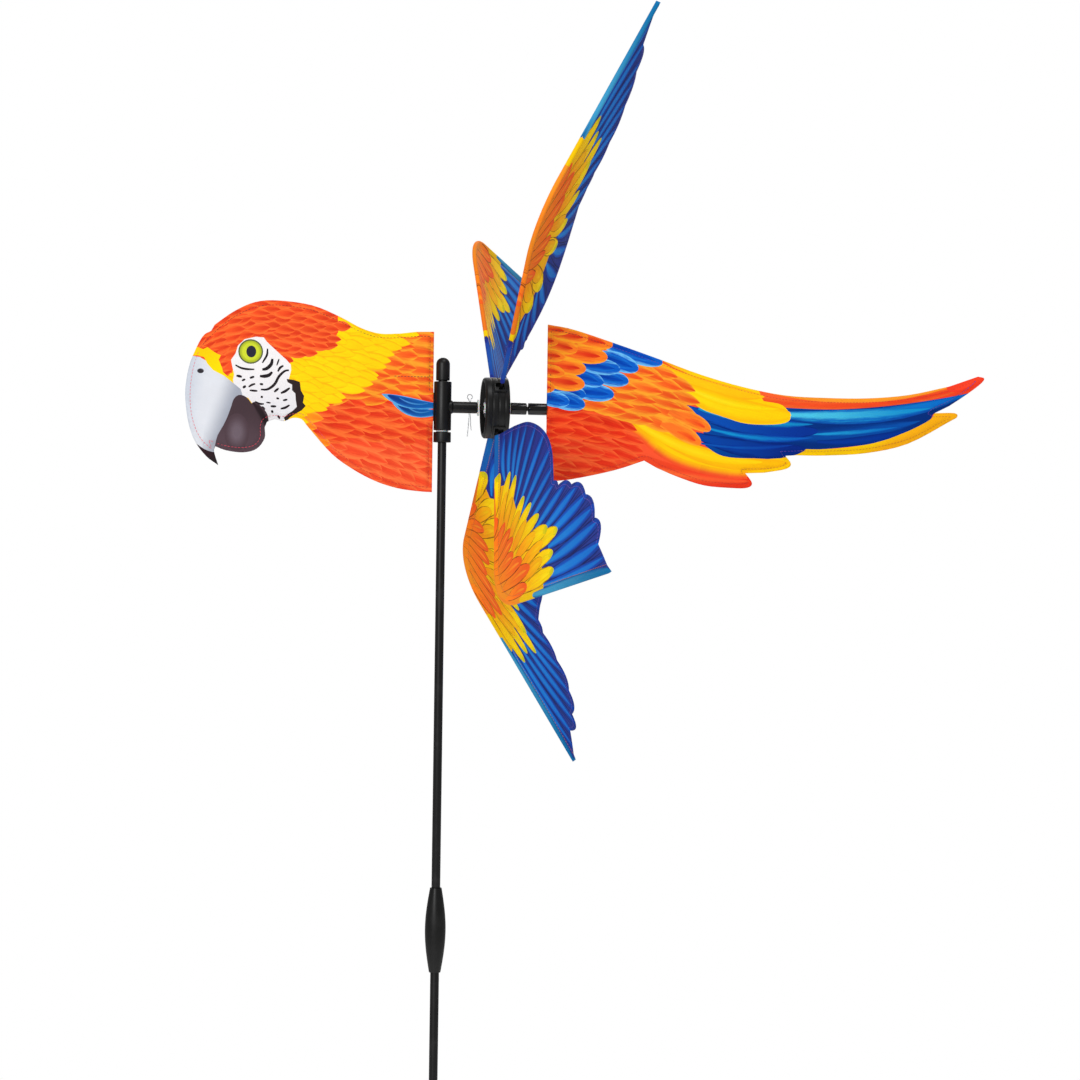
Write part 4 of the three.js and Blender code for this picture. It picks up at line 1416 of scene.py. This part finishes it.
def lobes(start, ends):
    """Rounded feather tips: each ends at a point and stands out from its chord by a bulge."""
    line = [start]
    for x, y, bulge in ends:
        a, b = np.array(line[-1]), np.array((x, y))
        out = np.array((b[1] - a[1], a[0] - b[0])) / np.hypot(*(b - a))
        middle = (a + b) / 2 + 2 * bulge * out
        for t in np.linspace(0.125, 1, 8):
            line.append(tuple((1 - t) ** 2 * a + 2 * t * (1 - t) * middle + t**2 * b))
    return line


TRAILING_LOBES = ((299, 186), [(271, 184, 7.5), (240, 174, 5.5), (213, 152, 5.5), (195, 128, 4),
                               (183, 119, 2)])
ROOT_EDGE = [(167, 117.5), (147, 116), (124, 109), (101, 94), (77, 71), (60, 47), (50, 30)]


def wing_outline():
    leading = [tuple(p) for p in beside_rod(34.5, -SLEEVE, 3.0)]
    nose = [tuple(WING_TIP + HAND * 1.2 - 0.3 * np.array((-HAND[1], HAND[0])))]
    return leading + nose + [(315, 192.5)] + lobes(*TRAILING_LOBES) + curve(ROOT_EDGE + [(41, 13), (36, 4)])


class WingFrame:
    """A wing's own flat frame, read from its rod and its cloth in the frame."""

    def __init__(self, number):
        rod = self.vertices(f"wing_rod_{number}")
        near = [p for p in rod if (p - HUB).length < 14.6 * MM]
        self.out = (sum(near, Vector()) / len(near) - HUB).normalized()
        cloth = self.vertices(f"wing_cloth_{number}")
        middle = sum(cloth, Vector()) / len(cloth) - HUB
        self.back = (middle - self.out * middle.dot(self.out)).normalized()
        self.normal = self.out.cross(self.back)

    @staticmethod
    def vertices(node):
        return [vertex.co.copy() for vertex in frame["nodes"][node].data.vertices]

    def matrix(self):
        """Takes millimetres in the wing's frame to millimetres from the axle's meeting point."""
        turn = Matrix((self.out, self.back, self.normal)).transposed().to_4x4()
        return Matrix.Translation((HUB - AXLE) / MM) @ turn

    def place(self, points, heights):
        axes = np.array((self.out, self.back, self.normal))
        return (np.column_stack((points, heights)) @ axes) * MM + np.array(HUB)


WING_SET = {1: (-4.0, 4.0), 2: (2.4, 3.5), 3: (2.4, 12.0), 4: (2.4, 18.0)}    # each wing's belly and curl
CHORD = 117.0       # from the rod to the free edge
RIPPLE = 0.9        # height of the ripples in the loose part of the cloth


def wing_height(points, number):
    """How far a wing's cloth stands off its plane: a belly, a curl to its free edge, and ripples there."""
    belly, curl = WING_SET[number]
    offset = np.clip(rod_offset(points), 0, None)
    spread = np.sin(np.clip((points[:, 0] - 20) / 300, 0, 1) * math.pi)
    height = belly * np.sin(np.clip(offset / 130, 0, 1) * math.pi) * spread + curl * (offset / CHORD) ** 1.5
    loose = np.clip((offset - 30) / 70, 0, 1)
    return height + loose * RIPPLE * np.sin(points[:, 0] / 21 + 1.7 * number)


def wing_surface(frame_of, number, side):
    """The upper (1) or lower (-1) face of a wing, in the row frame."""
    def surface(points):
        offset = rod_offset(points)
        round_rod = np.sqrt(np.clip(SLEEVE**2 - offset**2, 0.002, None))
        leave = 0.35 * SLEEVE
        start = math.sqrt(SLEEVE**2 - leave**2)
        taper = np.clip((SEAM - offset) / (SEAM - leave), 0, 1)
        thick = np.where(offset < leave, round_rod, CLOTH_HALF + (start - CLOTH_HALF) * taper**1.4)
        pucker = np.exp(-((offset - SEAM) / 1.5) ** 2) * np.sin(points[:, 0] / 1.1) * 0.07
        return frame_of.place(points, wing_height(points, number) + side * thick + pucker)

    return surface


SLEEVE_ROWS = (-1.98, -1.7, -1.2, -0.5, 0.3, 1.1, 2.2, 3.5, 5.0, 6.5)    # rows of points round the rod


def build_wing_rod(number, place):
    name = f"rod_of_wing_{number}"
    rod = tube([(x, y, 0) for x, y in beside_rod(14, 0, 2.0)], ROD_RADIUS, 16)
    rod.transform(place.matrix())
    add_solid(name, rod, "rotor", "black_rod", f"wing_rod_{number}")


def build_wing(number, place, cut):
    """A printed wing with its sleeve round the rod, and the stitches on both faces."""
    name = f"printed_wing_{number}"
    faces = [wing_surface(place, number, side) for side in (1, -1)]
    wing = add_piece(name, cloth_mesh(name, cut, *faces), [LOOKS["wing_cloth"]], "rotor",
                     [f"wing_sleeve_{number}", f"wing_cloth_{number}"])
    free_edge = np.array(lobes(*TRAILING_LOBES) + curve(ROOT_EDGE + [(43, 17)]))
    threads = Stitching()
    for surface in faces:
        threads.sew(set_in(free_edge, 3.6), surface, "violet")
        threads.sew(beside_rod(37, SEAM + 0.2, 6.0), surface, "amber")
    sewn = threads.piece(f"wing_stitching_{number}", "rotor", "wing_cloth")
    signed_area(cut.outline) * MM**2


def build_rods_and_wings():
    rows = [beside_rod(35.5, offset, 1.5) for offset in SLEEVE_ROWS]
    cut = Cut(wing_outline(), wing_print(), rows, fine=4.0, coarse=6.0, border=9.0)
    for number in range(1, 5):
        place = WingFrame(number)
        build_wing_rod(number, place)
        build_wing(number, place, cut)


# ---- Stitches ----


def set_in(line, distance):
    """A line moved to its left by a distance."""
    line = resample(line, 2.0)
    return line + distance * normals(line)


class Stitching:
    """Thread stitches laid on cloth: each is a short bar with both ends sunk into the cloth."""

    STITCH, PITCH, RADIUS, SIDES = 2.3, 3.1, 0.27, 6

    def __init__(self):
        self.vertices, self.faces, self.materials = [], [], []

    def sew(self, line, surface, colour, pitch=PITCH):
        """Sews along a flat line on a surface that takes flat points to the row frame."""
        points = resample(line, pitch)
        colour_index = list(THREADS).index(colour)
        heading = np.diff(points, axis=0)
        share = self.STITCH / self.PITCH
        starts = points[:-1] + heading * (1 - share) / 2
        aside = np.stack((-heading[:, 1], heading[:, 0]), 1) * 0.05
        stations = [surface(starts + heading * share * t) for t in (0.0, 0.2, 0.5, 0.8, 1.0)]
        sideways = surface(starts + heading * share * 0.5 + aside) - stations[2]
        for index in range(len(starts)):
            ahead = Vector(stations[4][index] - stations[0][index]).normalized()
            side = Vector(sideways[index])
            side = (side - ahead * side.dot(ahead)).normalized()
            self.bar([Vector(s[index]) for s in stations], side, ahead.cross(side), colour_index)

    def bar(self, centres, side, up, colour_index):
        first = len(self.vertices)
        for centre, size in zip(centres, (0.35, 0.85, 1.0, 0.85, 0.35)):
            for i in range(self.SIDES):
                angle = 2 * math.pi * i / self.SIDES
                reach = self.RADIUS * size * MM
                self.vertices.append(centre + side * reach * math.cos(angle) + up * reach * math.sin(angle))
        for ring in range(4):
            for i in range(self.SIDES):
                j = (i + 1) % self.SIDES
                a, b = first + ring * self.SIDES, first + (ring + 1) * self.SIDES
                self.faces.append((a + i, a + j, b + j, b + i))
        self.faces.append(tuple(first + i for i in range(self.SIDES))[::-1])
        self.faces.append(tuple(first + 4 * self.SIDES + i for i in range(self.SIDES)))
        self.materials.extend([colour_index] * (4 * self.SIDES + 2))

    def piece(self, name, body, slot):
        mesh = bpy.data.meshes.new(name)
        mesh.from_pydata(self.vertices, [], self.faces)
        mesh.polygons.foreach_set("use_smooth", [True] * len(self.faces))
        used = sorted(set(self.materials))
        mesh.polygons.foreach_set("material_index", [used.index(m) for m in self.materials])
        return add_piece(name, mesh, [list(THREADS.values())[m] for m in used], body)


# ---- Hub ----


HUB_RADIUS, RIM, BOSS, HUB_BORE = 28.0, 3.5, 9.0, 5.3
INSIDE_RIM = HUB_RADIUS - RIM
WEB = (-5.5, 0.5)               # the web's two faces, from the hub's middle
GROOVES = (-6.5, -1.0, 4.5)     # the fine grooves round the rim
HUB_PLACE = Matrix.Translation((HUB - AXLE) / MM)


def drum_profile():
    """Half the drum's section: boss, web and grooved rim."""
    middle = (HUB.x - AXLE.x) / MM
    front, back = (edge - middle for edge in span("hub_drum", 0))
    outer = [(HUB_RADIUS - 1.5, front), (HUB_RADIUS, front + 1.5)]
    for groove in GROOVES:
        outer += [(HUB_RADIUS, groove - 0.6), (HUB_RADIUS - 0.45, groove), (HUB_RADIUS, groove + 0.6)]
    outer.append((HUB_RADIUS, back))
    return [(HUB_BORE, 0), (HUB_BORE, front + 2), (BOSS, front + 2), (BOSS, WEB[0]), (INSIDE_RIM, WEB[0]),
            (INSIDE_RIM, front), *outer, (INSIDE_RIM, back), (INSIDE_RIM, WEB[1]), (BOSS, WEB[1]),
            (BOSS, back), (HUB_BORE, back), (HUB_BORE, 0)]


def build_hub():
    """The drum: a ribbed rim, a web with lightening holes, a boss, and four boxed sockets."""
    joined = [lathe(rounded(drum_profile(), 0.6), HUB_PLACE @ ALONG_AXLE, 96)]
    removed = []
    pitch = (BOSS + INSIDE_RIM) / 2
    for number in range(1, 5):
        place = WingFrame(number)
        socket = box((BOSS, HUB_RADIUS + 1.6), (-5.6, 5.6), (-5.6, 5.6), 0.7)
        pocket = box((HUB_RADIUS - 2, HUB_RADIUS + 4), (-4, 4), (-4, 4), 0.0)
        rod_hole = cylinder(ROD_RADIUS + 0.6, 13, 34, turn=ALONG_AXLE, segments=24)
        rod_hole.transform(place.matrix())
        start = math.atan2(-place.out.y, place.out.z)
        upright = HUB_PLACE @ Matrix.Rotation(start, 4, "X") @ Matrix.Rotation(math.radians(-90), 4, "Y")
        socket.transform(upright)
        pocket.transform(upright)
        joined.append(socket)
        removed += [pocket, rod_hole]
        for step in (30, 60):
            angle = start + math.radians(step)
            centre = Matrix.Translation((0, -pitch * math.sin(angle), pitch * math.cos(angle)))
            removed.append(cylinder(3, -9, 4, turn=HUB_PLACE @ centre @ ALONG_AXLE, segments=24))
    add_solid("drum", carve(joined, removed), "rotor", "black_plastic", "hub_drum")
    bush = tube_ring(AXLE_RADIUS + CLEARANCE, HUB_BORE - CLEARANCE, *span("hub_bushing", 0))
    add_solid("bushing", lathe(bush, ALONG_AXLE), "rotor", "clear_plastic", "hub_bushing")


# ---- Panels and their seams ----


HEAD_SEAM = HEAD_EDGE - 3.6
HEAD_SEAMS = [
    ("brown", [(HEAD_SEAM, 64), (HEAD_SEAM, 14)]),
    ("scarlet", [(HEAD_SEAM, -14), (HEAD_SEAM, -73)]),
    ("brown", [(-45, 27), (HEAD_SEAM, 27)]),
    ("brown", [(HEAD_SEAM, 64), (-26, 63.6)]
     + curve([(-40, 62), (-60, 62), (-78, 67.5), (-95, 75.5), (-121, 85.2), (-150, 88.6), (-169, 86.8),
              (-187, 78.5), (-203, 66.5), (-214, 55), (-220, 48)])),
    ("rose", curve([(-220, 48), (-225.5, 30), (-228, 8), (-226, -14), (-219, -32), (-208, -43)])
     + [(-211, -34), (-206.5, -36.5)]),
    ("rose", curve([(-206.5, -36.5), (-195, -39.5), (-181, -40.8), (-170, -38.2), (-165, -31), (-165, -21),
                    (-162, -14), (-153, -11), (-144, -12), (-137, -9.5), (-127, -9.5), (-118, -18.5),
                    (-98, -40.5)])),
    ("scarlet", curve([(-98, -40.5), (-78, -55), (-58.5, -65), (-39, -71), (HEAD_SEAM, -73.6)])),
]
TAIL_SEAM = TAIL_EDGE + 3.2
TAIL_SEAMS = [
    ("brown", [(TAIL_SEAM, 73), (TAIL_SEAM, 9)]),
    ("scarlet", [(TAIL_SEAM, -9), (TAIL_SEAM, -62)]),
    ("brown", curve([(TAIL_SEAM, 73), (120, 69.6), (156, 59)])),
    ("violet", curve([(156, 59), (180, 51.6), (204, 43.6)])),
    ("amber", curve([(204, 43.6), (240, 31.6), (280, 21.2), (296, 18)])),
    ("scarlet", curve([(296, 18), (320, 14), (360, 12.4), (400, 13), (440, 16.8), (478, 25.4), (506, 36)])),
    ("violet", [(506, 36), (494, 25.5), (478, 15.5), (462, 8), (458, 3.5), (466, 1)]),
    ("amber", curve([(466, 1), (482, 1), (470, -5), (440, -20.6), (400, -30.4), (360, -33.4), (336, -33.6)])),
    ("violet", [(336, -33.6), (316, -34.6), (320, -38.5)]),
    ("amber", curve([(320, -38.5), (322.5, -45), (316, -49), (300, -51), (280, -52), (282, -57)])),
    ("scarlet", curve([(282, -57), (286, -63), (280, -65.4), (246, -63.6), (221, -56), (200, -47.6),
                       (188, -41.2), (160, -51), (120, -60), (TAIL_SEAM, -62)])),
]


def build_stitched_panel(name, cut, edge, mouth_half, seams):
    """The head or the tail: two printed cloths round its board, and the stitches through both."""
    outers = build_panel(name, cut, edge, mouth_half)
    threads = Stitching()
    for outer in outers:
        for colour, line in seams:
            threads.sew(line, outer, colour)
    threads.piece(f"{name}_stitching", "vane", "body_cloth")


# ---- Studio ----

CAMERA_DISTANCE = 2.0
CAMERA_TURN = math.radians(-8)      # round the pole, from square on to the bird's left side
CAMERA_ROLL = math.radians(0.8)
VIEW_RIGHT = 0.0891                 # the view's middle, right of the pole and below the axle
VIEW_BELOW = 0.1216
LENS = 72.93


def build_camera():
    data = bpy.data.cameras.new("camera")
    data.lens = LENS
    data.sensor_width = 36
    data.clip_start = 0.05
    data.clip_end = 30
    camera = bpy.data.objects.new("camera", data)
    back = Vector((math.sin(CAMERA_TURN), -math.cos(CAMERA_TURN), 0))
    level = Vector((math.cos(CAMERA_TURN), math.sin(CAMERA_TURN), 0))
    upright = Vector((0, 0, 1))
    right = level * math.cos(CAMERA_ROLL) + upright * math.sin(CAMERA_ROLL)
    up = upright * math.cos(CAMERA_ROLL) - level * math.sin(CAMERA_ROLL)
    place = AXLE + right * VIEW_RIGHT - up * VIEW_BELOW + back * CAMERA_DISTANCE
    turn = Matrix((right, up, back)).transposed().to_4x4()
    camera.matrix_world = Matrix.Translation(place) @ turn
    bpy.context.scene.collection.objects.link(camera)
    bpy.context.scene.camera = camera


def build_light(name, place, size, power):
    data = bpy.data.lights.new(name, "AREA")
    data.shape = "DISK"
    data.size = size
    data.energy = power
    light = bpy.data.objects.new(name, data)
    light.location = place
    light.rotation_euler = (Vector((0.1, 0, 0.95)) - Vector(place)).to_track_quat("-Z", "Y").to_euler()
    bpy.context.scene.collection.objects.link(light)


def build_world():
    """White behind the object, and a softer white to light it."""
    world = bpy.data.worlds.new("studio")
    bpy.context.scene.world = world
    world.use_nodes = True
    tree = world.node_tree
    tree.nodes.clear()
    path = tree.nodes.new("ShaderNodeLightPath")
    shown = None
    for ray, strength in ((None, 0.64), ("Is Glossy Ray", 0.3), ("Is Camera Ray", 1.0)):
        white = tree.nodes.new("ShaderNodeBackground")
        white.inputs["Color"].default_value = (1, 1, 1, 1)
        white.inputs["Strength"].default_value = strength
        if ray is None:
            shown = white.outputs[0]
            continue
        mix = tree.nodes.new("ShaderNodeMixShader")
        tree.links.new(path.outputs[ray], mix.inputs[0])
        tree.links.new(shown, mix.inputs[1])
        tree.links.new(white.outputs[0], mix.inputs[2])
        shown = mix.outputs[0]
    out = tree.nodes.new("ShaderNodeOutputWorld")
    tree.links.new(shown, out.inputs[0])


def build_floor():
    built = lathe(rounded([(0, -12), (1440, -12), (1440, -2), (0, -2)], 4), segments=128)
    built.transform(Matrix.Scale(MM, 4))
    mesh = bpy.data.meshes.new("studio_floor")
    built.to_mesh(mesh)
    built.free()
    mesh.materials.append(studio_floor_paint("pale_floor"))
    floor = bpy.data.objects.new("studio_floor", mesh)
    bpy.context.scene.collection.objects.link(floor)


def build_studio():
    build_camera()
    build_world()
    build_light("key", (-1.1, -2.4, 1.4), 1.0, 26)
    build_light("top", (0.4, -1.0, 3.1), 1.0, 13)
    build_light("back", (0.6, 2.4, 2.0), 1.6, 17)
    build_floor()
    bpy.context.scene.view_settings.view_transform = "Standard"


def paint_boards():
    for node in ("head_board", "tail_board"):
        materials = frame["nodes"][node].data.materials
        materials.clear()
        materials.append(FOAM)


build_studio()
build_pole()
build_tee()
build_axle()
build_rings()
build_cotter()
paint_boards()
build_stitched_panel("head", Cut(HEAD_OUTLINE, head_print()), HEAD_EDGE, 13.0, HEAD_SEAMS)
build_stitched_panel("tail", Cut(TAIL_OUTLINE, tail_print()), TAIL_EDGE, 3.0, TAIL_SEAMS)
build_hub()
build_rods_and_wings()
